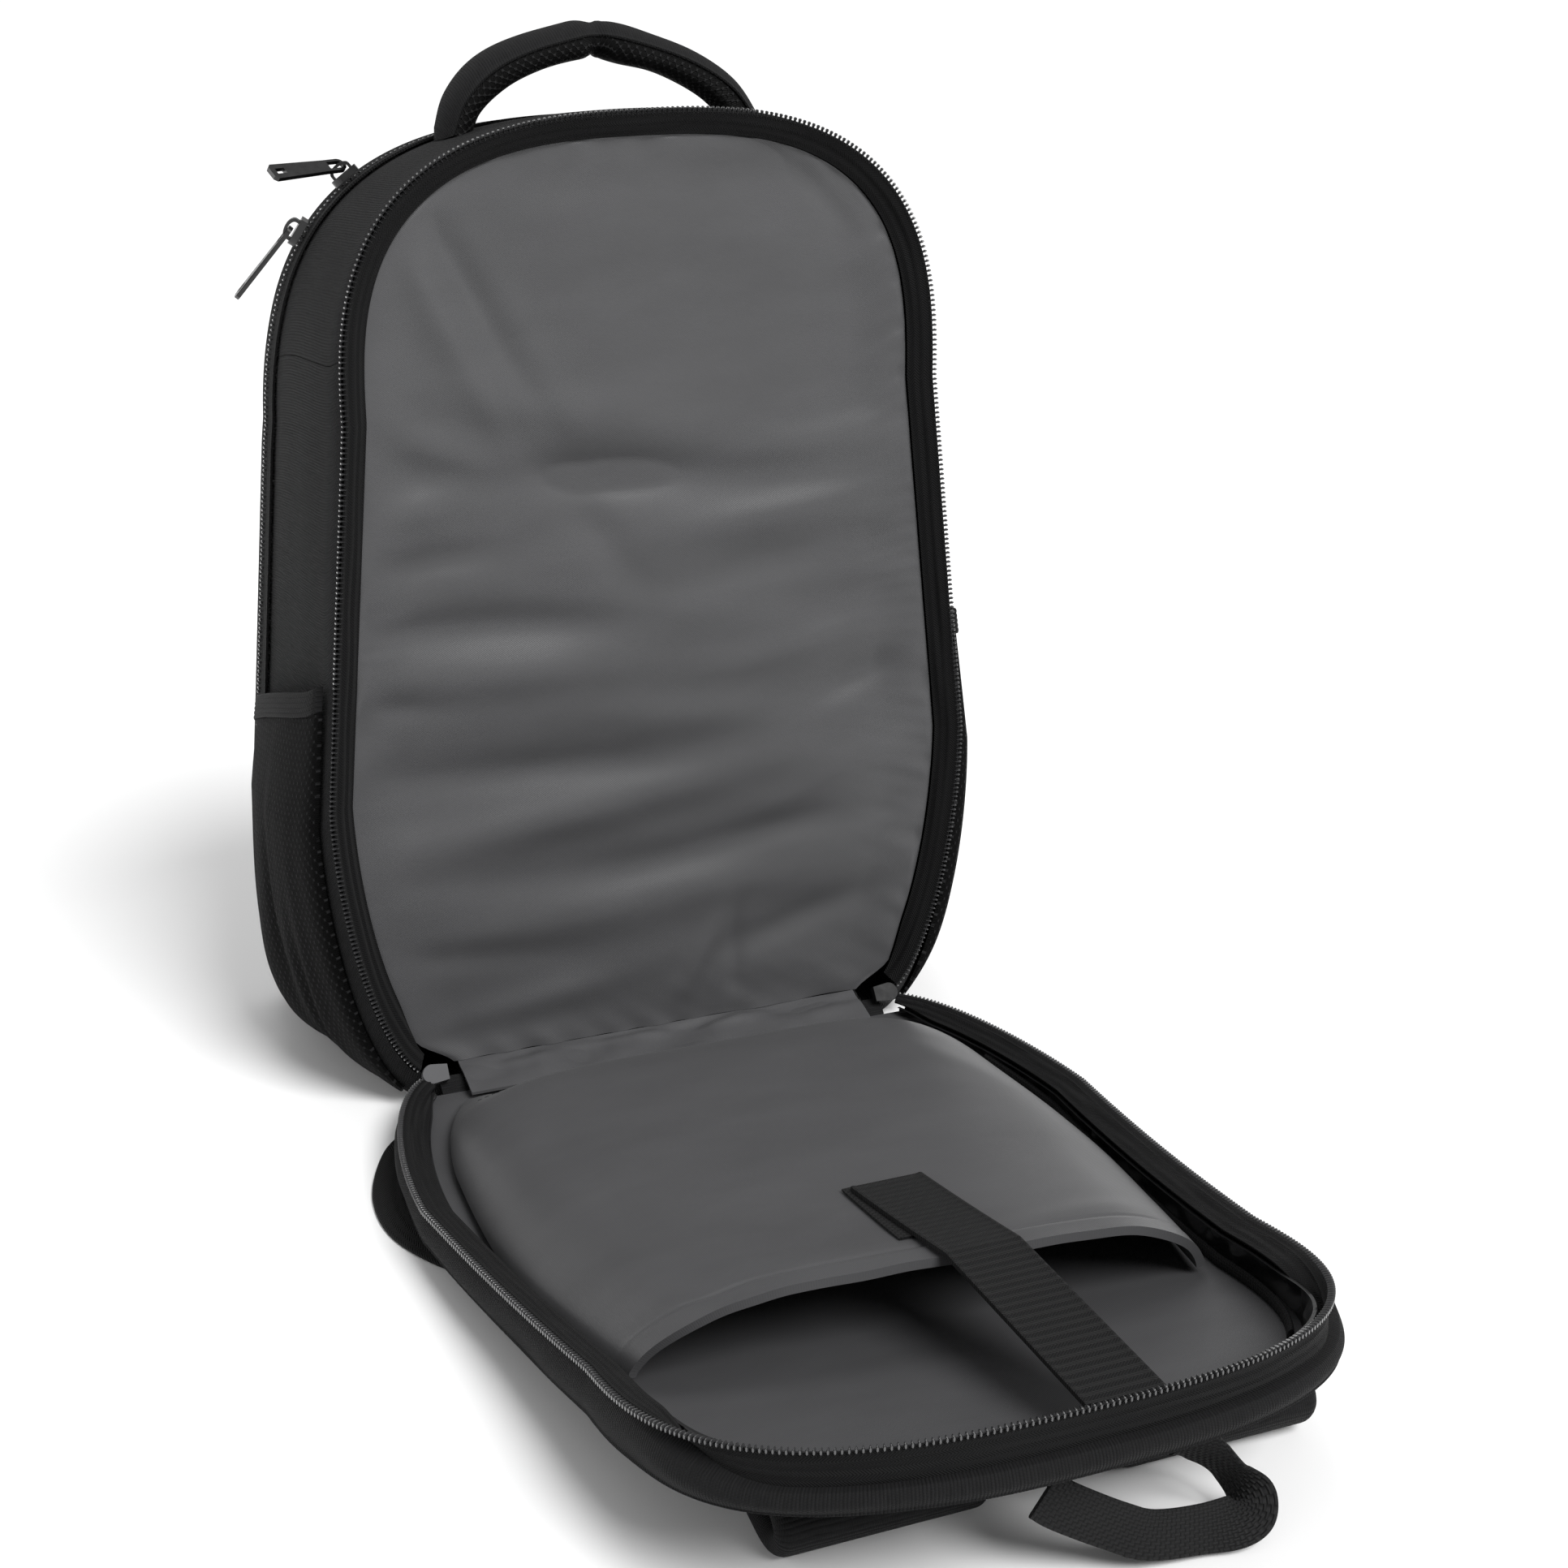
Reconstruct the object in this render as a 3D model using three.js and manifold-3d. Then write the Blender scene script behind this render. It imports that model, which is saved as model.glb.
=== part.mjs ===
// A travel backpack that stands on its base with its back panel opened flat in front of it.
// Millimetres, +Z up. The two halves meet along a hinge seam parallel to X; the body stands behind
// the seam (+Y) and the opened back panel lies in front of it (-Y).
// The origin is the middle of the base's underside, on the surface that the backpack stands on.
import * as THREE from 'three';
import { mergeVertices } from 'three/addons/utils/BufferGeometryUtils.js';
import Module from 'manifold-3d';

const wasm = await Module();
wasm.setup();

// Driving dimensions
const bagWidth = 300;           // across the back zip at its widest
const zipHeight = 423;          // hinge seam to the top of the back zip
const hingeLength = 220;        // straight seam between the two halves
const cornerHeight = 134;       // where a lower corner reaches the full width
const sideHeight = 302;         // where the straight sides end
const sideTaper = 16.8;         // how much each side leans in on the way up
const topRound = 2.757;         // exponent of the rounded top
const cornerRound = 1.842;      // exponent of the lower corners
const bodyDepth = 165;          // back zip to the front face
const hingeRise = 18;           // hinge seam above the underside of the base
const panelAngle = 8.14;        // degrees that the opened panel rises
const panelSag = 11.9;          // how far the opened panel sags in its middle

const clothWall = 2;            // outer fabric with its backing
const liningWall = 1.3;         // lining fabric
const meshWall = 1.6;           // air mesh of the pockets
const baseWall = 3;             // padded base
const gap = 0.3;                // between pieces that touch

const tapeWidth = 11;           // zip tape between the teeth and the seam
const tapeWall = 1;
const coilSize = 2.8;           // thickness of the row of teeth
const tapeEdge = (coilSize + tapeWall) / 2 + gap; // from the middle of the teeth, which run on the outline
const sliderClear = 10.2;        // stretch of zip that a corner slider takes
const frontZipWidth = 24;       // closed zip at the front, tape edge to tape edge

const frontZipSide = 120;       // depth of the front zip along the sides
const frontZipTop = 92;         // and over the top
const frontRound = 5;           // exponent of the front panel's edge
const frontLean = 0.2;          // share of the depth by which its face leans back at the top

const zipSteps = 44;            // facets along the open zip

// The body's section grows from the zip line to the floor and sinks at the top. Columns: share of the
// depth, side spread as a share of the half width, drop as a share of the hinge rise, the top's sink as
// a share of the zip height, and how much wider than the hinge the foot is, as a share of half the hinge.
const bodySections = [
  { depth: 0.0, spread: 0.004, drop: 0.1, sink: 0.0, foot: 0.0 },
  { depth: 0.03, spread: 0.014, drop: 0.5, sink: 0.0, foot: 0.0 },
  { depth: 0.06, spread: 0.022, drop: 0.86, sink: 0.002, foot: 0.0 },
  { depth: 0.1, spread: 0.028, drop: 1.0, sink: 0.004, foot: 0.0 },
  { depth: 0.25, spread: 0.042, drop: 1.0, sink: 0.01, foot: 0.02 },
  { depth: 0.4, spread: 0.045, drop: 1.0, sink: 0.018, foot: 0.07 },
  { depth: 0.55, spread: 0.046, drop: 1.0, sink: 0.032, foot: 0.13 },
  { depth: 0.75, spread: 0.04, drop: 1.0, sink: 0.06, foot: 0.18 },
];

// Depth of the panel's outer wall below the rim. Columns: share of the panel's length, share of wallDeep.
const wallDeep = 23;
const wallTable = [
  { along: 0.0, deep: 0.36 },
  { along: 0.1, deep: 0.48 },
  { along: 0.25, deep: 0.6 },
  { along: 0.5, deep: 0.74 },
  { along: 0.75, deep: 0.87 },
  { along: 1.0, deep: 1.0 },
];

// Thickness of the padded back below the tray. Columns: share of the panel's length, share of padThick.
const padThick = 13;
const padTable = [
  { along: 0.0, thick: 0.38 },
  { along: 0.2, thick: 0.6 },
  { along: 0.4, thick: 0.86 },
  { along: 0.6, thick: 1.0 },
  { along: 1.0, thick: 0.9 },
];

const degrees = Math.PI / 180;
const lerp = THREE.MathUtils.lerp;
const clamp = THREE.MathUtils.clamp;
const smooth = (x) => THREE.MathUtils.smoothstep(x, 0, 1);
const vec = (x, y, z) => new THREE.Vector3(x, y, z);

// Reads a column of a table at a share between its rows, without kinks.
function column(table, at, key, place) {
  let row = 0;
  while (row < table.length - 2 && place > table[row + 1][at]) row += 1;
  const a = table[row];
  const b = table[row + 1];
  const before = table[Math.max(row - 1, 0)];
  const after = table[Math.min(row + 2, table.length - 1)];
  const span = b[at] - a[at];
  const slopeA = (b[key] - before[key]) / (b[at] - before[at]);
  const slopeB = (after[key] - a[key]) / (after[at] - a[at]);
  const k = clamp((place - a[at]) / span, 0, 1);
  const h = k * k * (3 - 2 * k);
  return a[key] * (1 - h) + b[key] * h + span * (slopeA * k * (1 - k) ** 2 - slopeB * k * k * (1 - k));
}

// The zip outline, right hinge end to left hinge end: two lower corners, two leaning sides, a round top.
function outlineQuarter(steps) {
  const half = bagWidth / 2;
  const points = [];
  for (let i = 0; i <= steps; i += 1) {
    const a = (i / steps) * Math.PI / 2;
    points.push([
      hingeLength / 2 + (half - hingeLength / 2) * Math.sin(a) ** (2 / cornerRound),
      cornerHeight * (1 - Math.cos(a) ** (2 / cornerRound)),
    ]);
  }
  for (let i = 1; i <= steps; i += 1) {
    const k = i / steps;
    points.push([half - sideTaper * k, lerp(cornerHeight, sideHeight, k)]);
  }
  for (let i = 1; i <= steps * 2; i += 1) {
    const a = (i / (steps * 2)) * Math.PI / 2;
    points.push([
      (half - sideTaper) * Math.max(Math.cos(a), 0) ** (2 / topRound),
      sideHeight + (zipHeight - sideHeight) * Math.sin(a) ** (2 / topRound),
    ]);
  }
  return points;
}

const outline = (() => {
  const right = outlineQuarter(60);
  const left = right.slice(0, -1).reverse().map(([x, z]) => [-x, z]);
  const points = [...right, ...left];
  const lengths = [0];
  for (let i = 1; i < points.length; i += 1) {
    const [a, b] = [points[i - 1], points[i]];
    lengths.push(lengths[i - 1] + Math.hypot(b[0] - a[0], b[1] - a[1]));
  }
  return { points, lengths, total: lengths.at(-1) };
})();

// A point of the outline at a share of its length, with its outward direction.
function outlineAt(share) {
  const want = clamp(share, 0, 1) * outline.total;
  let low = 0;
  let high = outline.lengths.length - 1;
  while (high - low > 1) {
    const middle = (low + high) >> 1;
    if (outline.lengths[middle] <= want) low = middle;
    else high = middle;
  }
  const near = (i) => outline.points[clamp(i, 0, outline.points.length - 1)];
  const k = (want - outline.lengths[low]) / (outline.lengths[high] - outline.lengths[low]);
  const x = lerp(near(low)[0], near(high)[0], k);
  const z = lerp(near(low)[1], near(high)[1], k);
  const reach = 4;
  const a = near(low - reach);
  const b = near(high + reach);
  const flat = low < reach || high > outline.points.length - 1 - reach;
  const tx = flat ? near(high)[0] - near(low)[0] : b[0] - a[0];
  const tz = flat ? near(high)[1] - near(low)[1] : b[1] - a[1];
  const length = Math.hypot(tx, tz);
  return { x, z, nx: tz / length, nz: -tx / length };
}

// The outline moved inwards.
function insetOutline(share, inset) {
  const p = outlineAt(share);
  return { x: p.x - p.nx * inset, z: p.z - p.nz * inset };
}

const shareOf = (length) => length / outline.total;
const fromEnds = (share) => Math.min(share, 1 - share) * outline.total;

// The share of the right half of the outline at which it passes a height.
function shareAtHeight(height) {
  let low = 0;
  let high = 0.5;
  for (let i = 0; i < 40; i += 1) {
    const middle = (low + high) / 2;
    if (outlineAt(middle).z < height) low = middle;
    else high = middle;
  }
  return low;
}

// Solids

// One closed body between two skins, each a function of u and v from 0 to 1.
function solidBetween(outer, inner, uSteps, vSteps, closed = false) {
  const positions = [];
  const index = [];
  const keys = new Map();
  const vertex = (p) => {
    const key = [p.x, p.y, p.z].map((n) => Math.round(n * 500)).join();
    if (!keys.has(key)) {
      keys.set(key, positions.length / 3);
      positions.push(p.x, p.y, p.z);
    }
    return keys.get(key);
  };
  const grid = (skin) => Array.from({ length: uSteps + 1 }, (_, i) => (
    Array.from({ length: vSteps + 1 }, (_, j) => (
      vertex(skin(closed && i === uSteps ? 0 : i / uSteps, j / vSteps))
    ))
  ));
  const triangle = (a, b, c) => {
    if (a !== b && b !== c && a !== c) index.push(a, b, c);
  };
  const quad = (a, b, c, d) => {
    triangle(a, b, c);
    triangle(a, c, d);
  };
  const top = grid(outer);
  const under = grid(inner);
  for (let i = 0; i < uSteps; i += 1) {
    for (let j = 0; j < vSteps; j += 1) {
      quad(top[i][j], top[i + 1][j], top[i + 1][j + 1], top[i][j + 1]);
      quad(under[i][j], under[i][j + 1], under[i + 1][j + 1], under[i + 1][j]);
    }
    quad(top[i][0], under[i][0], under[i + 1][0], top[i + 1][0]);
    quad(top[i][vSteps], top[i + 1][vSteps], under[i + 1][vSteps], under[i][vSteps]);
  }
  if (!closed) {
    for (let j = 0; j < vSteps; j += 1) {
      quad(top[0][j], top[0][j + 1], under[0][j + 1], under[0][j]);
      quad(top[uSteps][j], under[uSteps][j], under[uSteps][j + 1], top[uSteps][j + 1]);
    }
  }
  return outwards(positions, index);
}

// A closed body swept along a path: profile(u) gives the corner points of a convex section.
function solidAlong(profile, uSteps, closed = false) {
  const rings = Array.from({ length: closed ? uSteps : uSteps + 1 }, (_, i) => profile(i / uSteps));
  const sides = rings[0].length;
  const positions = rings.flatMap((ring) => ring.flatMap((p) => [p.x, p.y, p.z]));
  const index = [];
  for (let i = 0; i < uSteps; i += 1) {
    const next = (i + 1) % rings.length;
    for (let j = 0; j < sides; j += 1) {
      const a = i * sides + j;
      const b = i * sides + ((j + 1) % sides);
      const c = next * sides + ((j + 1) % sides);
      const d = next * sides + j;
      index.push(a, b, c, a, c, d);
    }
  }
  if (!closed) {
    const last = uSteps * sides;
    for (let j = 1; j < sides - 1; j += 1) {
      index.push(0, j + 1, j);
      index.push(last, last + j, last + j + 1);
    }
  }
  return outwards(positions, index);
}

// Turns every face outwards and makes the geometry.
function outwards(positions, index) {
  const corner = (i) => vec(positions[3 * i], positions[3 * i + 1], positions[3 * i + 2]);
  let volume = 0;
  for (let i = 0; i < index.length; i += 3) {
    volume += corner(index[i]).dot(corner(index[i + 1]).cross(corner(index[i + 2])));
  }
  const faces = volume > 0 ? index : index.map((_, i) => index[i - (i % 3) + (2 - (i % 3))]);
  const geometry = new THREE.BufferGeometry();
  geometry.setAttribute('position', new THREE.Float32BufferAttribute(positions, 3));
  geometry.setIndex(faces);
  geometry.computeVertexNormals();
  return geometry;
}

// A skin moved along its own normal, for the other side of a cloth wall.
function offsetSkin(skin, distance) {
  const step = 0.004;
  return (u, v) => {
    const u0 = clamp(u - step, 0, 1);
    const u1 = clamp(u + step, 0, 1);
    const v0 = clamp(v - step, 0, 1);
    const v1 = clamp(v + step, 0, 1);
    const along = skin(u1, v).sub(skin(u0, v));
    const across = skin(u, v1).sub(skin(u, v0));
    return skin(u, v).addScaledVector(along.cross(across).normalize(), distance);
  };
}

const cloth = (skin, wall, uSteps, vSteps) => solidBetween(skin, offsetSkin(skin, wall), uSteps, vSteps);

function toManifold(geometry) {
  const bare = geometry.clone();
  bare.deleteAttribute('normal');
  bare.deleteAttribute('uv');
  const merged = mergeVertices(bare, 1e-4);
  return new wasm.Manifold(new wasm.Mesh({
    numProp: 3,
    vertProperties: new Float32Array(merged.attributes.position.array),
    triVerts: new Uint32Array(merged.index.array),
  }));
}

function fromManifold(solid) {
  const mesh = solid.getMesh();
  const geometry = new THREE.BufferGeometry();
  geometry.setAttribute('position', new THREE.Float32BufferAttribute(mesh.vertProperties, 3));
  geometry.setIndex([...mesh.triVerts]);
  geometry.computeVertexNormals();
  return geometry;
}

// Materials
const material = (color, roughness, metalness = 0) => (
  new THREE.MeshStandardMaterial({ color, roughness, metalness })
);
const finish = {
  outer: material(0x232325, 0.9),
  mesh: material(0x151516, 0.85),
  tape: material(0x141415, 0.85),
  coil: material(0x1c1c1d, 0.35),
  lining: material(0x565657, 0.55),
  darkLining: material(0x2e2e30, 0.6),
  webbing: material(0x121213, 0.8),
  plastic: material(0x18181a, 0.3),
  gunmetal: material(0x4a4b4e, 0.4, 0.7),
};

const pack = new THREE.Group();
const add = (name, geometry, look) => {
  const mesh = new THREE.Mesh(geometry, look);
  mesh.name = name;
  pack.add(mesh);
  return mesh;
};

// Body

const narrowEnds = (share) => smooth(fromEnds(share) / 45);
const tapeAt = (share) => lerp(0.4 * tapeWidth, tapeWidth, narrowEnds(share));
const frontZipDepth = (height) => (
  lerp(frontZipSide, frontZipTop, smooth((height - 0.68 * zipHeight) / (0.32 * zipHeight)))
);

// The sides bulge less at the shoulders, and the soft front stands a little to the left.
const shoulderFrom = 0.68 * zipHeight;
const shoulderFade = 0.15 * zipHeight;
const shoulderFlat = 0.3;       // share of the side spread that the shoulders lose
const bodyShift = 2;
// The body's outer skin: a place on the outline and a depth behind the zip.
function bodySkin(share, depth) {
  const p = outlineAt(share);
  const at = depth / bodyDepth;
  const spread = column(bodySections, 'depth', 'spread', at) * bagWidth / 2;
  const drop = column(bodySections, 'depth', 'drop', at) * hingeRise;
  const sink = column(bodySections, 'depth', 'sink', at) * zipHeight;
  const foot = column(bodySections, 'depth', 'foot', at) * hingeLength / 2;
  const low = 1 - smooth(p.z / cornerHeight);
  const shoulder = smooth((p.z - shoulderFrom) / shoulderFade);
  const side = p.nx * spread * (1 - shoulderFlat * shoulder) + Math.sign(p.x) * foot * low;
  const x = p.x + side - bodyShift * at * (1 - low);
  return vec(x, depth, -drop + p.z * (zipHeight - sink + drop) / zipHeight);
}
const footHalf = (depth) => hingeLength / 2 * (1 + column(bodySections, 'depth', 'foot', depth / bodyDepth));

// The direction out of the body's skin.
function bodyOut(share, depth) {
  const step = 0.003;
  const along = bodySkin(share + step, depth).sub(bodySkin(share - step, depth));
  const back = bodySkin(share, depth + 2).sub(bodySkin(share, depth - 2));
  return back.cross(along).normalize();
}

const tapeFront = -0.6;         // depth of the teeth's middle behind the zip line
const gussetBack = tapeFront + coilSize / 2 + gap;
const sideTop = shareAtHeight(0.78 * zipHeight);
const seamShare = shareOf(gap / 2);
const zipSeam = 0.4;            // half the seam that the front zip covers
const gusset = (from, to) => (u, v) => {
  const share = lerp(from, to, u);
  return bodySkin(share, lerp(gussetBack, frontZipDepth(outlineAt(share).z) - zipSeam, v));
};
const sideLow = shareOf(6 * gap);
const sideHigh = sideTop - seamShare;
add('side_panel_right', cloth(gusset(sideLow, sideHigh), clothWall, 14, 7), finish.outer);
add('side_panel_left', cloth(gusset(1 - sideLow, 1 - sideHigh), -clothWall, 14, 7), finish.outer);
const topStart = sideTop + seamShare;
add('top_gusset', cloth(gusset(topStart, 1 - topStart), clothWall, 18, 4), finish.outer);

// Flat padded base
const baseBack = 0.1 * bodyDepth;
const baseSkin = (level) => (u, v) => {
  const depth = lerp(baseBack, frontZipSide - gap / 2, v);
  return vec(lerp(-1, 1, u) * (footHalf(depth) - gap / 2), depth, level);
};
add('base_panel', solidBetween(baseSkin(-hingeRise), baseSkin(-hingeRise + baseWall), 2, 4), finish.outer);

// Outer fabric that carries the hinge seam, from the base up to the seam and out under the panel.
// Columns: shares of the base's back edge and of the hinge rise, then the direction of its thickness.
const hingeWall = 1.8;
const hingeSections = [
  { back: 0.92, rise: -1.0, wy: 0.8, wz: 0.6 },
  { back: 0.6, rise: -0.86, wy: 0.8, wz: 0.6 },
  { back: 0.3, rise: -0.52, wy: 0.8, wz: 0.6 },
  { back: 0.12, rise: -0.24, wy: 0.8, wz: 0.6 },
  { back: -0.1, rise: -0.24, wy: 0.2, wz: 0.6 },
  { back: -0.42, rise: -0.42, wy: 0.2, wz: 0.6 },
];
const hingeSkin = (lift) => (u, v) => {
  const row = hingeSections[Math.round(v * (hingeSections.length - 1))];
  const half = hingeLength / 2 - gap;
  const y = row.back * (baseBack - gap) + lift * row.wy;
  return vec(lerp(-half, half, u), y, row.rise * hingeRise + lift * row.wz);
};
add('hinge_fold', solidBetween(
  hingeSkin(0), hingeSkin(hingeWall), 2, hingeSections.length - 1,
), finish.outer);

// Front panel: a rounded tray that closes the body in front of the front zip
const frontMiddle = 0.42 * zipHeight;
function frontDepth(height) {
  return bodyDepth * (1 - frontLean * smooth((height - 0.45 * zipHeight) / (0.6 * zipHeight)));
}
const archShare = 0.84;         // of the front panel's edge: the rest runs along the base
function frontRim(u) {
  if (u <= archShare) {
    const share = u / archShare;
    return bodySkin(share, frontZipDepth(outlineAt(share).z) + zipSeam);
  }
  const k = (u - archShare) / (1 - archShare);
  const half = footHalf(frontZipSide + zipSeam);
  return vec(lerp(-half, half, k), frontZipSide + zipSeam, -hingeRise);
}
// From the rim (v = 0) over the rounded edge to the middle of the front face (v = 1).
const frontSkin = (inset) => (u, v) => {
  const rim = frontRim(u);
  const a = v * Math.PI / 2;
  const out = Math.max(Math.cos(a), 0) ** (2 / frontRound);
  const forward = Math.sin(a) ** (2 / frontRound);
  const keep = out * (1 - inset / Math.hypot(rim.x, rim.z - frontMiddle));
  const z = frontMiddle + (rim.z - frontMiddle) * keep;
  return vec(rim.x * keep, lerp(rim.y, frontDepth(z) - inset, forward), z);
};
add('front_panel', solidBetween(frontSkin(0), frontSkin(clothWall), 44, 5, true), finish.outer);

// Closed zip on the seam between the gusset and the front panel
const frontZipStart = 16;       // stretch of outline below its ends
const zipHalf = frontZipWidth / 2;
const frontZipSkin = (lift, half) => (u, v) => {
  const share = lerp(shareOf(frontZipStart), 1 - shareOf(frontZipStart), u);
  const seam = frontZipDepth(outlineAt(share).z);
  const depth = lerp(-half, half, v);
  const skin = bodySkin(share, seam + Math.min(depth, 0));
  if (depth > 0) {
    const keep = (1 - (depth / (bodyDepth - seam)) ** frontRound) ** (1 / frontRound);
    skin.set(skin.x * keep, seam + depth, frontMiddle + (skin.z - frontMiddle) * keep);
  }
  return skin.addScaledVector(bodyOut(share, seam), lift);
};
const frontZipLift = 1.1;       // clear of the facets below
const frontZipSteps = 48;
add('front_zip_tape', solidBetween(
  frontZipSkin(frontZipLift + tapeWall, zipHalf), frontZipSkin(frontZipLift, zipHalf), frontZipSteps, 2,
), finish.tape);
const frontCoilLift = frontZipLift + tapeWall + gap;
const frontCoilWall = 1.2;
const frontCoilTop = frontCoilLift + frontCoilWall;
add('front_zip_coil', solidBetween(
  frontZipSkin(frontCoilTop, coilSize), frontZipSkin(frontCoilLift, coilSize), frontZipSteps, 1,
), finish.coil);

// Open zip around the back: tape and teeth
const zipShare = (u) => lerp(shareOf(sliderClear), 1 - shareOf(sliderClear), u);
const bodyRing = (share, grow, depth) => {
  const p = outlineAt(share);
  return vec(p.x + p.nx * grow, depth, p.z + p.nz * grow);
};
const tapeSink = 5.6;
const bodyTapeSkin = (lift) => (u, v) => {
  const share = zipShare(u);
  const wide = tapeAt(share);
  const slant = Math.hypot(wide, tapeSink);
  const grow = (tapeSink / slant) * lift - wide * v - tapeEdge;
  return bodyRing(share, grow, tapeFront + tapeSink * v + (wide / slant) * lift);
};
add('body_zip_tape', solidBetween(bodyTapeSkin(0), bodyTapeSkin(tapeWall), zipSteps, 1), finish.tape);
// A square row of teeth along the zip; place turns a share and two offsets into a point.
const coilAlong = (place) => solidAlong((u) => [[1, 1], [-1, 1], [-1, -1], [1, -1]].map(([out, up]) => (
  place(zipShare(u), out * coilSize / 2, up * coilSize / 2)
)), zipSteps);
add('body_zip_coil', coilAlong((share, out, up) => (
  bodyRing(share, out, tapeFront + up)
)), finish.coil);

// Divider lining across the opening. Each row of the table is a soft crease across the sheet. Columns:
// height and width as shares of the zip height, depth as a share of creaseDeep, how far it climbs
// towards one side, as a share of the zip height, and where across the sheet it is strongest.
const creaseDeep = 5;
const dividerFolds = [
  { height: 0.12, wide: 0.03, deep: 0.7, climb: 0.02, strong: 0.5 },
  { height: 0.2, wide: 0.03, deep: 0.6, climb: -0.02, strong: -0.6 },
  { height: 0.31, wide: 0.035, deep: 1.0, climb: -0.03, strong: 0.6 },
  { height: 0.42, wide: 0.04, deep: 0.8, climb: 0.02, strong: -0.4 },
  { height: 0.52, wide: 0.035, deep: 1.0, climb: 0.03, strong: -0.7 },
  { height: 0.62, wide: 0.04, deep: 0.8, climb: -0.03, strong: 0.5 },
  { height: 0.74, wide: 0.05, deep: 0.7, climb: 0.1, strong: -0.5 },
];
const dividerDepth = tapeFront + tapeSink + 1.4;
const dividerFoot = 2;
const dividerRim = (share) => insetOutline(share, tapeEdge + tapeAt(share) + gap);
// Finds the share of the right half at which a rising value passes a limit.
function shareWhere(value, limit, from = 0, to = 0.5) {
  let low = from;
  let high = to;
  for (let i = 0; i < 40; i += 1) {
    const middle = (low + high) / 2;
    if (value(middle) < limit) low = middle;
    else high = middle;
  }
  return low;
}
const dividerTop = dividerRim(0.5).z;
const dividerStart = shareAtHeight(12);
function dividerHalf(height) {
  const foot = dividerRim(dividerStart);
  if (height < foot.z) return lerp(hingeLength / 2 - sliderClear, foot.x, smooth(height / foot.z));
  return dividerRim(shareWhere((share) => dividerRim(share).z, height, dividerStart)).x;
}
function creaseAt(x, height, half) {
  const side = half > 1 ? x / half : 0;
  return dividerFolds.reduce((sum, fold) => {
    const place = (height / zipHeight - fold.height - fold.climb * side) / fold.wide;
    const strength = Math.exp(-((side - fold.strong) ** 2) / 0.9) * (1 - side ** 8);
    return sum + fold.deep * creaseDeep * strength * Math.exp(-(place ** 2));
  }, 0);
}
const dividerSkin = (lift) => (u, v) => {
  const height = lerp(dividerFoot, dividerTop, 1 - (1 - v) ** 1.5);
  const half = v === 1 ? 0 : dividerHalf(height);
  const x = lerp(half, -half, u);
  return vec(x, dividerDepth + creaseAt(x, height, half) + lift, height);
};
add('divider_panel', solidBetween(dividerSkin(0), dividerSkin(liningWall), 10, 18), finish.lining);

// Mesh side pockets with an elastic hem: the skin stands off the side panel, closed at three edges.
// Columns: share of the way down from the hem, share of pocketSwell.
const pocketTable = [
  { down: 0.0, swell: 0.3 },
  { down: 0.2, swell: 0.62 },
  { down: 0.45, swell: 0.9 },
  { down: 0.7, swell: 1.0 },
  { down: 0.86, swell: 0.85 },
  { down: 1.0, swell: 0.0 },
];
const pocketBack = 9;
const pocketSwell = 13;
const pocketHigh = 197;         // hem at the back edge
const pocketFall = 25;          // and how much lower it is at the front edge
const pocketFoot = 7;
const pocketSeat = 1.1;         // sewn edge above the side panel
const pocketFull = 0.4;         // exponent of its bulge across the depth
const hemTall = 11;
const hemWall = 3;
const pocketSkin = (side, lift, top, bottom) => (u, v) => {
  const hem = pocketHigh - pocketFall * u;
  const z = lerp(hem + top, bottom ?? pocketFoot, v);
  const share = side > 0 ? shareAtHeight(z) : 1 - shareAtHeight(z);
  const depth = lerp(pocketBack, frontZipDepth(z) - zipHalf - 2 * gap, u);
  const skin = bodySkin(share, depth);
  const down = (pocketHigh - z) / (pocketHigh - pocketFoot);
  const full = Math.sin(Math.PI * u) ** pocketFull;
  const swell = pocketSwell * column(pocketTable, 'down', 'swell', down) * full;
  skin.addScaledVector(bodyOut(share, depth), pocketSeat + lift + swell);
  return skin;
};
const hemSkin = (side, lift) => (u, v) => {
  const bottom = pocketHigh - pocketFall * u - hemTall;
  return pocketSkin(side, lift, 0, bottom)(u, v);
};
for (const [side, word] of [[1, 'right'], [-1, 'left']]) {
  const start = -hemTall - gap;
  add(`mesh_pocket_${word}`, solidBetween(
    pocketSkin(side, meshWall, start), pocketSkin(side, 0, start), 8, 8,
  ), finish.mesh);
  add(`pocket_hem_${word}`, solidBetween(hemSkin(side, hemWall), hemSkin(side, 0), 8, 1), finish.webbing);
}

// Padded handle arched over the top gusset, pinched in its middle. Columns: across and up as shares of
// half its span and its height, and how thick it is there.
const handleHalf = 66;
const handleHigh = 24;          // its middle line above the top of the back zip
const handleThick = 15.5;
const handleWide = 30;
const handleDepth = 60;
const handleSeat = 0.7;         // feet above the gusset
const handleSections = [
  { along: 0.0, across: -1.0, up: 0.0, thick: 0.85 },
  { along: 0.1, across: -0.92, up: 0.33, thick: 0.95 },
  { along: 0.22, across: -0.73, up: 0.63, thick: 1.0 },
  { along: 0.35, across: -0.47, up: 0.84, thick: 1.0 },
  { along: 0.47, across: -0.17, up: 0.98, thick: 1.0 },
  { along: 0.52, across: -0.045, up: 1.0, thick: 0.88 },
  { along: 0.62, across: 0.2, up: 0.88, thick: 1.0 },
  { along: 0.72, across: 0.44, up: 0.72, thick: 1.0 },
  { along: 0.82, across: 0.67, up: 0.51, thick: 1.0 },
  { along: 0.91, across: 0.85, up: 0.29, thick: 0.95 },
  { along: 1.0, across: 1.0, up: 0.0, thick: 0.85 },
];
const shareAcross = (x) => shareWhere((share) => -outlineAt(share).x, -Math.abs(x), 0.1);
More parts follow.
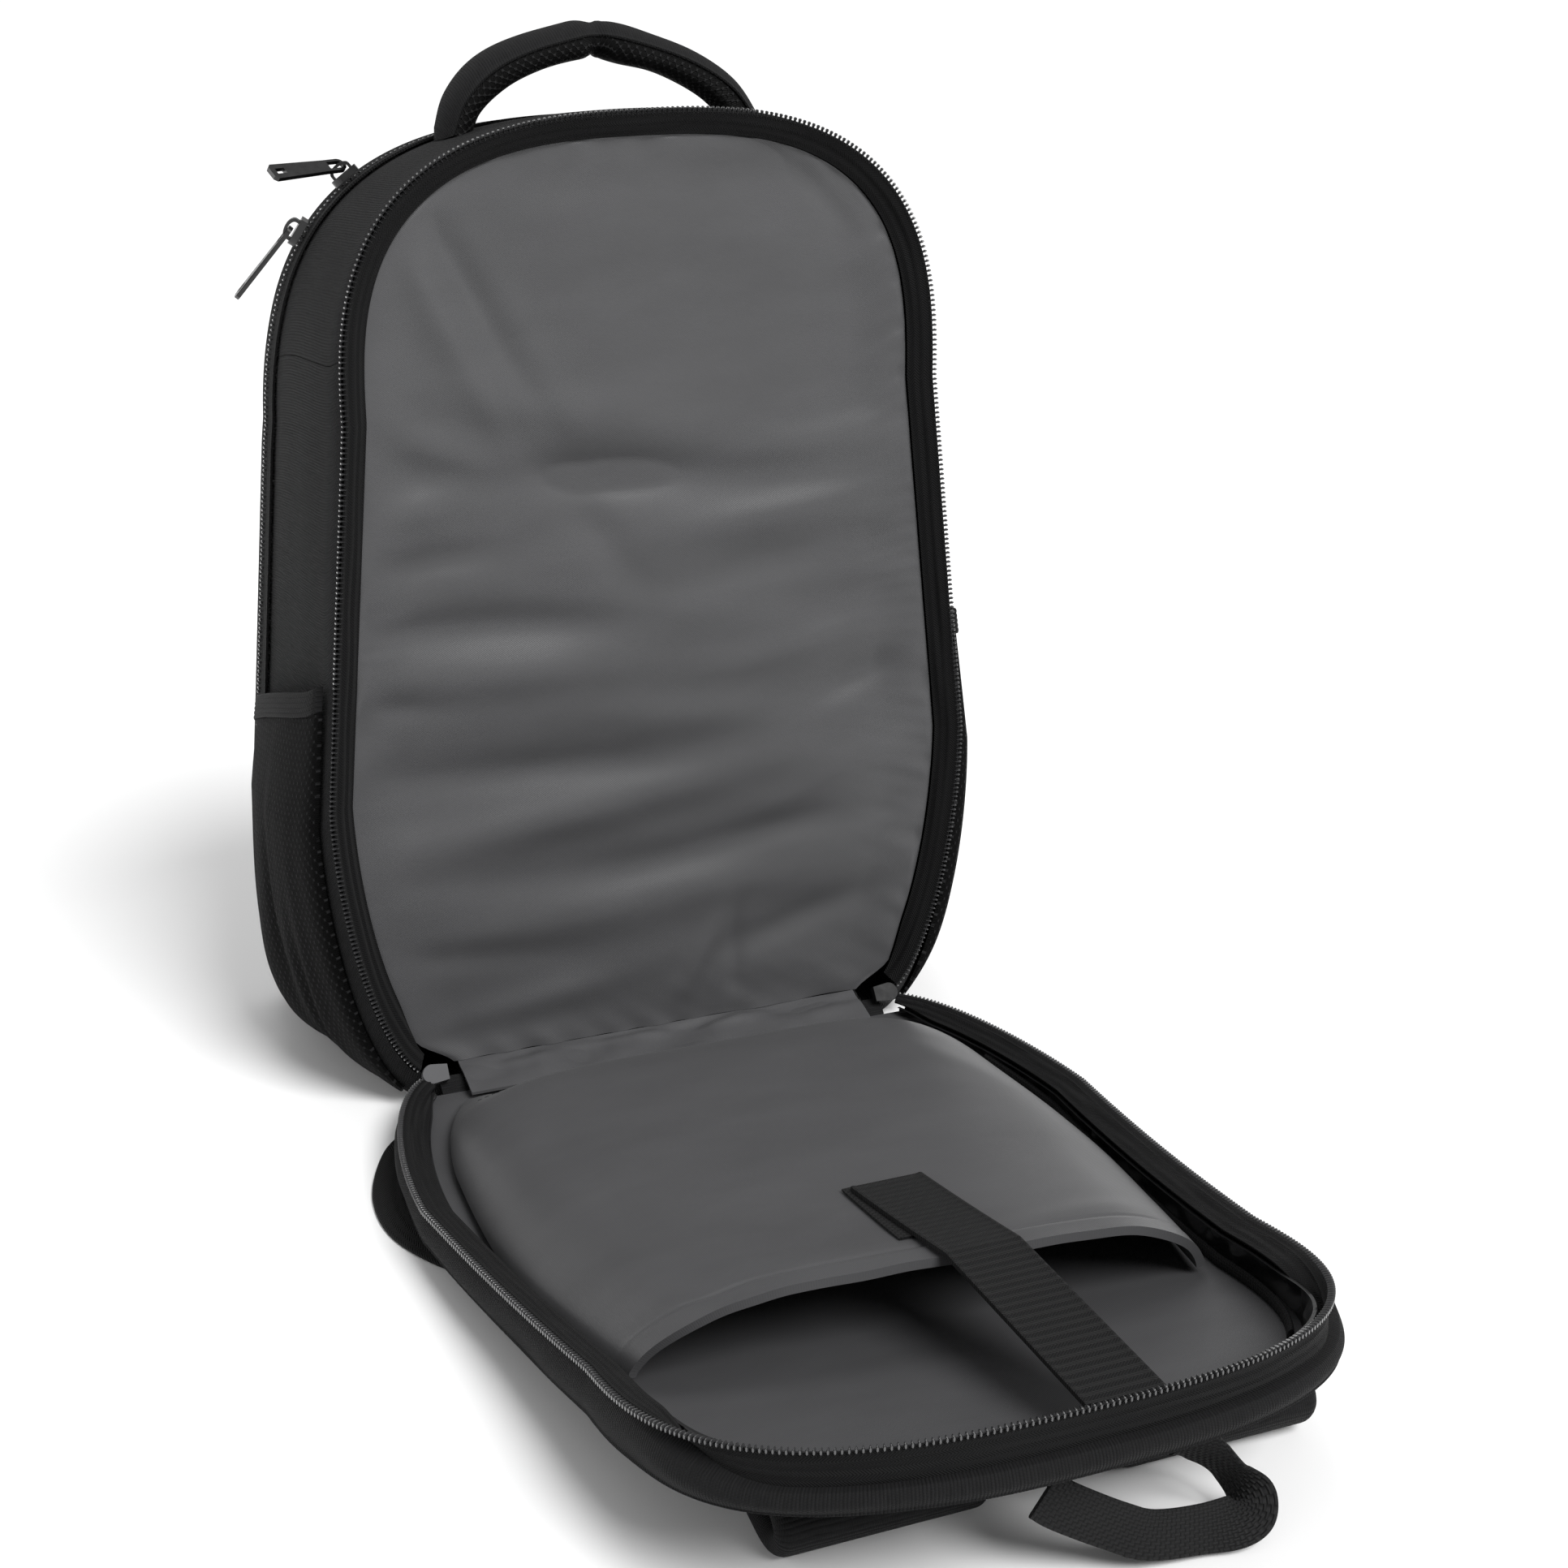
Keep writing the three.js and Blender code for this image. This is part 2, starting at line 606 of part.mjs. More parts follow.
const gussetTop = (x, depth) => bodySkin(shareAcross(x), depth).z;
const handlePoint = (u) => {
  const x = column(handleSections, 'along', 'across', u) * handleHalf;
  const up = column(handleSections, 'along', 'up', u);
  return vec(x, handleDepth, lerp(gussetTop(x, handleDepth), zipHeight + handleHigh, up));
};
const handleSides = 8;
const handleSection = (u) => {
  const tangent = handlePoint(clamp(u + 0.02, 0, 1)).sub(handlePoint(clamp(u - 0.02, 0, 1))).normalize();
  const out = vec(-tangent.z, 0, tangent.x);
  const thick = column(handleSections, 'along', 'thick', u);
  return Array.from({ length: handleSides }, (_, i) => {
    const a = (i / handleSides) * 2 * Math.PI;
    const p = handlePoint(u).addScaledVector(out, Math.sin(a) * handleThick / 2 * thick);
    p.y += Math.cos(a) * handleWide / 2 * thick;
    if (u === 0 || u === 1) p.z = gussetTop(p.x, p.y) + handleSeat;
    return p;
  });
};
add('top_handle', solidAlong(handleSection, 24), finish.outer);

// Opened back panel: a shallow tray whose rim is the same outline, laid forward of the hinge seam

const rimHeight = (along) => along * Math.sin(panelAngle * degrees)
  - panelSag * Math.sin(Math.PI * clamp(along / zipHeight, 0, 1));
const wallAt = (along) => wallDeep * column(wallTable, 'along', 'deep', along / zipHeight);
const padAt = (along) => padThick * column(padTable, 'along', 'thick', along / zipHeight);
// A point of the tray: across, along from the hinge seam, and above or below the rim.
const laidOut = Math.cos(panelAngle * degrees);
const tray = (x, along, level) => vec(x, -along * laidOut, rimHeight(along) + level);
const trayRing = (share, grow, level) => {
  const p = outlineAt(share);
  return tray(p.x + p.nx * grow, p.z + p.nz * grow, level);
};
const floorAt = (along) => -wallAt(along) + liningWall;

const wallBulge = 2.5;
const wallTop = 2.6;            // below the rim, where the tape is sewn to the wall
const standOut = 4.1;           // outside the tape where that stands up
const wallEnd = 13;             // stretch of outline that the hinge corner takes
// The zip tape leans out along the sides and stands up at the front end.
const upright = (share) => smooth((outlineAt(share).z / zipHeight - 0.8) / 0.15);
const wallSkin = (from, to, lift) => (u, v) => {
  const share = lerp(from, to, u);
  const along = outlineAt(share).z;
  const top = lerp(wallTop, tapeWidth + tapeEdge, upright(share));
  const bulge = wallBulge * Math.sin(Math.PI * v) + upright(share) * standOut;
  return trayRing(share, bulge - lift, lerp(-top, -wallAt(along), v));
};
const wallSplit = shareAtHeight(0.72 * zipHeight);
const wallStart = shareOf(wallEnd);
for (const [word, from, to, steps] of [
  ['right', wallStart, wallSplit - seamShare, 12],
  ['front', wallSplit + seamShare, 1 - wallSplit - seamShare, 16],
  ['left', 1 - wallStart, 1 - wallSplit + seamShare, 12],
]) {
  const wall = (lift) => wallSkin(from, to, lift);
  add(`panel_wall_${word}`, solidBetween(wall(0), wall(clothWall), steps, 2), finish.outer);
}

// Tape and teeth of the panel's half of the zip. How far the tape leans in and falls, as shares of its
// width: along the sides it lies flat, and at the front end it stands up.
const tapeLean = { side: 0.86, front: -0.13 };
const tapeFall = { side: 0.3, front: 0.96 };
const panelTapeSkin = (lift) => (u, v) => {
  const share = zipShare(u);
  const wide = tapeAt(share);
  const inward = wide * lerp(tapeLean.side, tapeLean.front, upright(share));
  const fall = wide * lerp(tapeFall.side, tapeFall.front, upright(share));
  const slant = Math.hypot(inward, fall);
  const turn = upright(share) * Math.PI / 2;
  const grow = -inward * v - (fall / slant) * lift - tapeEdge * Math.cos(turn);
  return trayRing(share, grow, -fall * v + (inward / slant) * lift - tapeEdge * Math.sin(turn));
};
add('panel_zip_tape', solidBetween(panelTapeSkin(0), panelTapeSkin(tapeWall), zipSteps, 1), finish.tape);
add('panel_zip_coil', coilAlong((share, out, up) => trayRing(share, out, up)), finish.coil);

// Padded back of the panel, under the tray
const padRound = 3;
const padInset = 9;             // its edge behind the tray's wall
const padSeat = 0.8;            // below the tray
const padMiddle = 0.5 * zipHeight;
const padStart = 8;             // from the hinge seam
const padSkin = (under) => (u, v) => {
  const share = u / archShare;
  const half = hingeLength / 2 - padInset;
  const across = lerp(-half, half, (u - archShare) / (1 - archShare));
  const p = u <= archShare ? insetOutline(share, padInset) : { x: across, z: padStart };
  const keep = under ? Math.max(Math.cos(v * Math.PI / 2), 0) ** (2 / padRound) : 1 - v;
  const along = padMiddle + (Math.max(p.z, padStart) - padMiddle) * keep;
  const thick = padAt(along) * lerp(0.3, 1, Math.sin(v * Math.PI / 2) ** (2 / padRound));
  return tray(p.x * keep, along, -wallAt(along) - padSeat - (under ? thick : 0));
};
add('back_pad', solidBetween(padSkin(false), padSkin(true), 36, 4, true), finish.mesh);

// Lining on the tray's floor, in rows from the hinge end to the front end
const liningInset = clothWall + 2 * gap;
const floorRim = (share) => insetOutline(share, liningInset);
const floorHalf = (along) => floorRim(shareWhere((s) => floorRim(s).z, along, shareAtHeight(3))).x;
const floorSkin = (lift) => (u, v) => {
  const along = lerp(padStart + 2, floorRim(0.5).z, 1 - (1 - v) ** 1.5);
  const half = v === 1 ? 0 : floorHalf(along);
  return tray(lerp(half, -half, u), along, floorAt(along) - lift);
};
add('panel_lining', solidBetween(floorSkin(0), floorSkin(liningWall), 4, 16), finish.lining);

// Lining strip over the hinge seam, from the divider's foot to the sleeve's seam. Columns: how far
// along from the divider towards the panel and how high, as shares of stripReach and stripRise.
const stripReach = 24;
const stripRise = 4;
const stripRipple = 0.6;
const stripSections = [
  { reach: -0.27, rise: 0.15 },
  { reach: -0.1, rise: -0.12 },
  { reach: 0.12, rise: -0.3 },
  { reach: 0.4, rise: -0.65 },
  { reach: 0.7, rise: -1.15 },
];
const stripSkin = (lift) => (u, v) => {
  const row = stripSections[Math.round(v * (stripSections.length - 1))];
  const half = hingeLength / 2 - sliderClear - 1;
  const wrinkle = stripRipple * Math.sin(9 * Math.PI * u + 4 * v) * Math.sin(Math.PI * v);
  return vec(lerp(-half, half, u), -row.reach * stripReach, row.rise * stripRise + wrinkle + lift);
};
add('hinge_strip', solidBetween(
  stripSkin(liningWall), stripSkin(0), 16, stripSections.length - 1,
), finish.lining);

// Loose lining down the inside of the tray's wall, crumpled between the tape and the floor. Columns:
// how many crumples along the wall, how deep as a share of crumpleDeep, and their start.
const crumpleDeep = 2.2;
const crumples = [
  { waves: 17, deep: 0.6, start: 0.3 },
  { waves: 29, deep: 0.5, start: 1.7 },
  { waves: 43, deep: 0.3, start: 4.1 },
];
const crumpleAt = (share, v) => crumpleDeep * Math.sin(Math.PI * v) * crumples.reduce((sum, row) => (
  sum + row.deep * Math.sin(row.waves * Math.PI * share + row.start + 1.5 * v)
), 0);
const wallLiningFoot = 6.5;
const wallLiningBelly = 2.6;
const wallLiningDown = 1.4;     // below the tape
const wallLiningSkin = (lift) => (u, v) => {
  const share = lerp(wallStart, 1 - wallStart, u);
  const along = outlineAt(share).z;
  const stand = upright(share);
  const wide = tapeAt(share);
  const topIn = lerp(tapeLean.side * wide, liningWall, stand) + tapeEdge;
  const topDown = lerp(tapeFall.side * wide, tapeWall, stand) + wallLiningDown;
  const foot = -floorAt(along) - 2 * gap;
  const belly = wallLiningBelly * Math.sin(Math.PI * v) * (1 - stand) + crumpleAt(share, v);
  return trayRing(share, -lerp(topIn, wallLiningFoot, v) + belly - lift, -lerp(topDown, foot, v));
};
add('wall_lining', solidBetween(wallLiningSkin(0), wallLiningSkin(liningWall), 44, 2), finish.darkLining);

// Ribbed binding on the floor's side seams
const bindingIn = 13.5;
const bindingWide = 2.4;
const bindingTall = 5;
const bindingLean = 0.6;        // of its top, in half widths
const bindingAlong = (from, to, mirror) => solidAlong((u) => {
  const share = shareAtHeight(lerp(from, to, u) * zipHeight);
  const along = outlineAt(share).z;
  const low = floorAt(along) + gap;
  const corner = (out, up) => {
    const p = trayRing(share, -bindingIn + out * bindingWide / 2, low + up * bindingTall);
    p.x *= mirror;
    return p;
  };
  return [corner(-1, 0), corner(1, 0), corner(1 + bindingLean, 1), corner(-1 + bindingLean, 1)];
}, 20);
add('binding_right', bindingAlong(0.17, 0.9, 1), finish.tape);
add('binding_left', bindingAlong(0.3, 0.8, -1), finish.tape);

// Padded sleeve on the tray's floor, open towards the front. Columns: share of the panel's length, half
// width as a share of half the bag's width, and how far it stands up as a share of sleeveHigh.
const sleeveHigh = 31;
const sleeveWall = 3.5;
const sleeveSections = [
  { along: 0.055, half: 0.69, high: 0.04 },
  { along: 0.09, half: 0.75, high: 0.4 },
  { along: 0.14, half: 0.8, high: 0.8 },
  { along: 0.22, half: 0.84, high: 1.0 },
  { along: 0.45, half: 0.86, high: 1.0 },
  { along: 0.62, half: 0.8, high: 1.0 },
  { along: 0.8, half: 0.7, high: 1.0 },
];
const mouthAlong = 309;
const mouthSkew = 8;            // the mouth runs a little further forward on the right
const mouthRound = 12;          // how far its corners lie behind its middle
const sleeveEdge = sleeveWall + 2 * gap;
const sleeveDome = { flat: 3.4, round: 0.75 }; // exponents of its section
function sleeveLevel(across, along) {
  const high = column(sleeveSections, 'along', 'high', along / zipHeight) * sleeveHigh;
  const dome = Math.max(1 - Math.abs(across) ** sleeveDome.flat, 0) ** sleeveDome.round;
  return floorAt(along) + sleeveEdge + high * dome;
}
const sleevePoint = (across, along, lift) => {
  const half = column(sleeveSections, 'along', 'half', along / zipHeight) * bagWidth / 2;
  return tray(across * half, along, sleeveLevel(across, along) + lift);
};
const sleeveSkin = (u, v) => {
  const across = Math.sin(lerp(-1, 1, u) * Math.PI / 2) * 0.5 + lerp(-1, 1, u) * 0.5;
  const mouth = mouthAlong + mouthSkew * across - mouthRound * across ** 6;
  return sleevePoint(across, lerp(sleeveSections[0].along * zipHeight, mouth, v ** 0.8), 0);
};
const sleeveInner = (u, v) => {
  const outer = sleeveSkin(u, v);
  const inner = offsetSkin(sleeveSkin, sleeveWall)(u, v);
  const floor = tray(0, -outer.y / laidOut, 0).z;
  inner.z = Math.max(inner.z, floor + floorAt(-inner.y / laidOut) + gap);
  return inner;
};
add('laptop_sleeve', solidBetween(sleeveSkin, sleeveInner, 14, 11), finish.lining);

// Hook strap over the sleeve's mouth, with its patch on the sleeve
const strapWide = 30;
const strapWall = 1.8;
const strapStart = 238;
const strapEnd = 409;
const strapAcross = 8;          // its middle at the sleeve end, right of the middle
const strapDrift = 11;          // and how much further right it ends
const patchStart = 234;
const patchEnd = 288;
const patchWall = 1.2;
const patchShift = 2;           // left of the strap's middle
const patchSeat = 0.4;          // above the sleeve
const sleeveHalfAt = (along) => column(sleeveSections, 'along', 'half', along / zipHeight) * bagWidth / 2;
const onSleeve = (x, along, lift) => tray(x, along, sleeveLevel(x / sleeveHalfAt(along), along) + lift);
const patchSkin = (lift) => (u, v) => (
  onSleeve(strapAcross - patchShift + lerp(-0.5, 0.5, u) * strapWide, lerp(patchStart, patchEnd, v), lift)
);
add('loop_patch', solidBetween(patchSkin(patchSeat + patchWall), patchSkin(patchSeat), 2, 4), finish.webbing);
const strapBrow = 4;            // how far the strap runs on level past the sleeve's mouth
const strapFoot = 8;            // its end below the rim
const strapSkin = (lift) => (u, v) => {
  const along = lerp(strapStart, strapEnd, v);
  const middle = strapAcross + strapDrift * (along - strapStart) / (strapEnd - strapStart);
  const x = middle + lerp(-0.5, 0.5, u) * strapWide;
  const seat = patchSeat + patchWall + gap + lift;
  const brow = mouthAlong + strapBrow;
  if (along <= brow) return onSleeve(x, along, seat);
  const from = onSleeve(x, brow, seat);
  const to = tray(x, strapEnd, -strapFoot + lift);
  return from.lerp(to, (along - brow) / (strapEnd - brow));
};
add('hook_strap', solidBetween(strapSkin(strapWall), strapSkin(0), 2, 18), finish.webbing);

// Shoulder straps folded under the panel: a padded stretch doubled back at the front, then webbing.
// Columns: share of the panel's length, share of the room between the surface and the padded back.
const shoulderWide = 80;
const shoulderThick = 10;
const shoulderSections = [
  { along: 0.785, room: 1.0, wide: 1.0 },
  { along: 0.825, room: 0.97, wide: 1.0 },
  { along: 0.855, room: 0.86, wide: 1.0 },
  { along: 0.87, room: 0.5, wide: 1.0 },
  { along: 0.86, room: 0.16, wide: 1.0 },
  { along: 0.835, room: 0.0, wide: 1.0 },
  { along: 0.77, room: 0.0, wide: 0.95 },
  { along: 0.69, room: 0.0, wide: 0.86 },
  { along: 0.6, room: 0.0, wide: 0.7 },
];
const shoulderStraps = [
  { name: 'right', side: 1, middle: 82 },
  { name: 'left', side: -1, middle: -50 },
];
const webWide = 36;
const webWall = 1.7;
const webClear = 0.3;           // above the surface
// The webbing runs from the pad's end to the hinge corner. Columns: share of half the bag's width, how
// much it still follows the pad's middle, share of the way back to the pad's end, lift in webWalls.
const webSections = [
  { out: 0.5, follow: 1.0, along: 1.0, lift: 2.2, wide: 0.8 },
  { out: 0.5, follow: 1.0, along: 0.93, lift: 1.8, wide: 0.8 },
  { out: 0.63, follow: 0.6, along: 0.776, lift: 0, wide: 0.9 },
  { out: 0.8, follow: 0.1, along: 0.573, lift: 0, wide: 1.0 },
  { out: 0.915, follow: 0.0, along: 0.438, lift: 0, wide: 1.0 },
  { out: 0.94, follow: 0.0, along: 0.304, lift: 0, wide: 1.0 },
  { out: 0.86, follow: 0.0, along: 0.169, lift: 0.3, wide: 1.0 },
  { out: 0.78, follow: 0.0, along: 0.1, lift: 0.6, wide: 0.8 },
];
function bandAlong(rows, point, thickness) {
  return solidAlong((u) => {
    const { middle, across, up } = point(u * (rows - 1));
    const half = thickness / 2;
    return [[-1, -1], [1, -1], [1, 1], [-1, 1]].map(([side, level]) => (
      middle.clone().addScaledVector(across, side).addScaledVector(up, level * half)
    ));
  }, (rows - 1) * 2);
}
const rowsBlend = (table, place, key) => {
  const rows = table.map((row, i) => ({ ...row, order: i }));
  return column(rows, 'order', key, place);
};
const underPad = (along) => rimHeight(along) - wallAt(along) - padSeat - padAt(along);
for (const { name, side, middle } of shoulderStraps) {
  const padPoint = (place) => {
    const along = rowsBlend(shoulderSections, place, 'along') * zipHeight;
    const low = -hingeRise + webClear + shoulderThick / 2;
    const high = underPad(along) - shoulderThick / 2 - gap;
    return vec(middle, -along * laidOut, lerp(low, high, rowsBlend(shoulderSections, place, 'room')));
  };
  add(`strap_pad_${name}`, bandAlong(shoulderSections.length, (place) => {
    const tangent = padPoint(place + 0.05).sub(padPoint(place - 0.05)).normalize();
    const across = vec(rowsBlend(shoulderSections, place, 'wide') * shoulderWide / 2, 0, 0);
    return { middle: padPoint(place), across, up: tangent.cross(vec(1, 0, 0)).normalize() };
  }, shoulderThick), finish.outer);
  const padEnd = shoulderSections.at(-1).along * zipHeight * laidOut - 2 * gap;
  const webPoint = (place) => {
    const edge = side * rowsBlend(webSections, place, 'out') * bagWidth / 2;
    return vec(
      lerp(edge, middle, rowsBlend(webSections, place, 'follow')),
      -rowsBlend(webSections, place, 'along') * padEnd,
      -hingeRise + webClear + webWall / 2 + rowsBlend(webSections, place, 'lift') * webWall,
    );
  };
  add(`strap_webbing_${name}`, bandAlong(webSections.length, (place) => {
    const tangent = webPoint(place + 0.05).sub(webPoint(place - 0.05)).setZ(0).normalize();
    const across = vec(-tangent.y, tangent.x, 0);
    across.multiplyScalar(rowsBlend(webSections, place, 'wide') * webWide / 2);
    return { middle: webPoint(place), across, up: vec(0, 0, 1) };
  }, webWall), finish.webbing);
}

// Hang loop sewn under the front wall. Columns: across, along and height in shares of loopSpan,
// zipHeight and loopDrop, then the direction of the webbing's width.
const loopSpan = 60;
const loopSeat = 0.95;          // of the panel's length, where it is sewn on
const loopDrop = 36;
const loopWide = 18;
const loopWall = 1.7;
const loopMiddle = 26;
const loopSections = [
  { across: -0.6, along: 0.955, down: 0.0, wx: 1.0, wy: 0.0, wz: 0.2 },
  { across: -0.48, along: 0.958, down: 0.16, wx: 0.9, wy: 0.0, wz: 0.4 },
  { across: -0.18, along: 0.965, down: 0.46, wx: 0.8, wy: 0.0, wz: 0.6 },
  { across: 0.05, along: 0.969, down: 0.64, wx: 0.35, wy: 0.2, wz: 0.9 },
  { across: 0.4, along: 0.971, down: 0.71, wx: 0.15, wy: 0.3, wz: 0.95 },
  { across: 0.66, along: 0.968, down: 0.74, wx: -0.3, wy: 0.8, wz: 0.5 },
  { across: 0.76, along: 0.953, down: 0.68, wx: -0.4, wy: 0.9, wz: 0.2 },
  { across: 0.7, along: 0.935, down: 0.5, wx: -0.6, wy: 0.8, wz: 0.1 },
  { across: 0.55, along: 0.931, down: 0.24, wx: -0.85, wy: 0.5, wz: 0.0 },
  { across: 0.4, along: 0.936, down: 0.0, wx: -1.0, wy: 0.1, wz: 0.0 },
];
const loopHigh = underPad(loopSeat * zipHeight) - 2 * gap - loopWall / 2;
const loopPoint = (place) => vec(
  loopMiddle + rowsBlend(loopSections, place, 'across') * loopSpan,
  -rowsBlend(loopSections, place, 'along') * zipHeight,
  loopHigh - rowsBlend(loopSections, place, 'down') * loopDrop,
);
add('hang_loop', bandAlong(loopSections.length, (place) => {
  const tangent = loopPoint(place + 0.05).sub(loopPoint(place - 0.05)).normalize();
  const width = vec(...['wx', 'wy', 'wz'].map((key) => rowsBlend(loopSections, place, key)));
  width.addScaledVector(tangent, -width.dot(tangent)).normalize();
  return {
    middle: loopPoint(place),
    across: width.clone().multiplyScalar(loopWide / 2),
    up: tangent.clone().cross(width).normalize(),
  };
}, loopWall), finish.webbing);

// Sliders and pulls

const sliderLong = 13;
const sliderWide = 8.4;
const sliderThick = 3.2;
const sliderSeat = 0.6;         // above the closed teeth
const bridgeLong = 10;
const bridgeOpen = 3.3;
const bridgeWall = 1.3;
const bridgeWide = 2.6;
const barHeight = 1.9;          // of a lying pull's inner bar above the slider's plate
const eyeHole = 2;
const eyeRing = 3.3;
const pullLong = 37;
const pullWide = 8.4;
const pullThick = 2;
const pullSlot = { from: 0.8, to: 0.93, wide: 3 };
const pullNeck = 2.2;           // where the pull starts to widen, in eye rings
const pullCorner = 1.5;         // cut off its end's corners
const plateTaper = 0.8;         // a slider's straight end to its round one
const bridgeRise = 0.4;         // upright share of the bridge's height

const flatSlab = (shape, depth) => (
  new THREE.ExtrudeGeometry(shape, { depth, bevelEnabled: false, curveSegments: 6 })
);

// A slider's plate with one round and one straight end.
function sliderPlate(long, wide, thick) {
  const shape = new THREE.Shape();
  shape.moveTo(-long / 2, -wide / 2 * plateTaper);
  shape.lineTo(long / 2 - wide / 2, -wide / 2);
  shape.absarc(long / 2 - wide / 2, 0, wide / 2, -Math.PI / 2, Math.PI / 2);
  shape.lineTo(-long / 2, wide / 2 * plateTaper);
  shape.closePath();
  return flatSlab(shape, thick);
}

// The arched bridge that a pull hangs on, standing on the plate.
function sliderBridge() {
  const shape = new THREE.Shape();
  const outer = bridgeOpen + bridgeWall;
  const inner = bridgeLong / 2 - bridgeWall;
  const sunk = 0.5;
  shape.moveTo(-bridgeLong / 2, -sunk);
  shape.lineTo(-bridgeLong / 2, outer * bridgeRise);
  shape.absellipse(0, outer * bridgeRise, bridgeLong / 2, outer * (1 - bridgeRise), Math.PI, 0, true);
  shape.lineTo(bridgeLong / 2, -sunk);
  shape.lineTo(inner, -sunk);
  shape.lineTo(inner, bridgeOpen * bridgeRise);
  shape.absellipse(0, bridgeOpen * bridgeRise, inner, bridgeOpen * (1 - bridgeRise), 0, Math.PI, false);
  shape.lineTo(-inner, -sunk);
  shape.closePath();
  const geometry = flatSlab(shape, bridgeWide);
  geometry.translate(0, 0, -bridgeWide / 2);
  geometry.rotateX(Math.PI / 2);
  geometry.translate(0, 0, sliderThick);
  return geometry;
}

// A pull: a round eye at the origin, a tapering plate and a slot near its end, along +X.
function pullPlate() {
  const shape = new THREE.Shape();
  const tail = pullWide / 2;
  shape.absarc(0, 0, eyeRing, Math.PI / 2, 1.5 * Math.PI, false);
  shape.lineTo(eyeRing * pullNeck, -eyeRing);
  shape.lineTo(pullLong - pullCorner, -tail);
  shape.lineTo(pullLong, -tail + pullCorner);
  shape.lineTo(pullLong, tail - pullCorner);
  shape.lineTo(pullLong - pullCorner, tail);
  shape.lineTo(eyeRing * pullNeck, eyeRing);
  shape.closePath();
  const eye = new THREE.Path();
  eye.absarc(0, 0, eyeHole, Math.PI / 2, 1.5 * Math.PI, false);
  eye.lineTo(3 * eyeHole, -eyeHole);
  eye.lineTo(3 * eyeHole, eyeHole);
  eye.closePath();
  shape.holes.push(eye);
  const slot = new THREE.Path();
  slot.moveTo(pullSlot.from * pullLong, -pullSlot.wide / 2);
  slot.lineTo(pullSlot.to * pullLong, -pullSlot.wide / 2);
  slot.lineTo(pullSlot.to * pullLong, pullSlot.wide / 2);
  slot.lineTo(pullSlot.from * pullLong, pullSlot.wide / 2);
  slot.closePath();
  shape.holes.push(slot);
  const geometry = flatSlab(shape, pullThick);
  geometry.translate(0, 0, -pullThick / 2);
  return geometry;
}

// A group at a point with its X and Z axes along two directions.
function frameAt(origin, x, z) {
  const across = z.clone().cross(x).normalize();
  const out = x.clone().cross(across).normalize();
  const group = new THREE.Group();
  group.applyMatrix4(new THREE.Matrix4().makeBasis(x.clone().normalize(), across, out));
  group.position.copy(origin);
  pack.add(group);
  return group;
}
function addTo(group, name, geometry, look) {
  const mesh = new THREE.Mesh(geometry, look);
  mesh.name = name;
  group.add(mesh);
}

// The two sliders of the front zip, on the left shoulder. Columns: distance from the middle, then the
// pull's direction: down along the zip, across it towards the back zip, and out of the bag.
const frontSliders = [
  { name: 'lower', from: 117, down: 0.99, across: 0, out: 0.12 },
  { name: 'upper', from: 98, down: 0.63, across: 0.67, out: 0.41 },
];
const frontSeam = (share) => bodySkin(share, frontZipDepth(outlineAt(share).z));
for (const row of frontSliders) {
  const share = 1 - shareWhere((s) => -outlineAt(s).x, -row.from, shareAtHeight(sideHeight));
  const out = bodyOut(share, frontZipDepth(outlineAt(share).z));
  const down = frontSeam(share + 0.01).sub(frontSeam(share));
  down.addScaledVector(out, -down.dot(out)).normalize();
  const back = out.clone().cross(down).normalize();
  if (back.y > 0) back.negate();
  const seat = frontSeam(share).addScaledVector(out, frontCoilTop + sliderSeat);
  const slider = toManifold(sliderPlate(sliderLong, sliderWide, sliderThick)).add(toManifold(sliderBridge()));
  addTo(frameAt(seat, down, out), `slider_${row.name}`, fromManifold(slider), finish.plastic);
  const direction = down.clone().multiplyScalar(row.down).addScaledVector(back, row.across);
  direction.addScaledVector(out, row.out).normalize();
  const flat = row.across === 0;
  const rise = flat ? barHeight : bridgeOpen + bridgeWall / 2;
  const pivot = seat.clone().addScaledVector(out, sliderThick + rise);
  const eye = pivot.clone().addScaledVector(direction, flat ? (eyeHole + eyeRing) / 2 : -eyeHole / 2);
  const axis = flat ? back : down;
  const face = flat ? axis.clone().cross(direction) : axis.clone();
  if (flat && face.dot(out) < 0) face.negate();
  face.addScaledVector(direction, -face.dot(direction)).normalize();
  addTo(frameAt(eye, direction, face), `pull_${row.name}`, pullPlate(), finish.plastic);
}

// The two sliders that the open zip has run down to, at the ends of the hinge seam
const cornerSliders = [
  { name: 'left', side: -1, look: finish.gunmetal },
  { name: 'right', side: 1, look: finish.plastic },
];
const cornerLong = 12;
const cornerWide = 9;
const cornerThick = 4;
const cornerOut = 2;            // of its middle past the hinge seam's end
for (const row of cornerSliders) {
  const middle = vec(row.side * (hingeLength / 2 + cornerOut), -1, 0.6);
  const group = frameAt(middle, vec(row.side, 0, 0), vec(0, -0.8, 0.6));
  addTo(group, `corner_slider_${row.name}`, sliderPlate(cornerLong, cornerWide, cornerThick), row.look);
}

pack.position.set(0, -(baseBack + frontZipSide) / 2, hingeRise);
export default pack;
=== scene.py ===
import math

import bmesh
import bpy
import numpy as np
from mathutils import Matrix, Vector


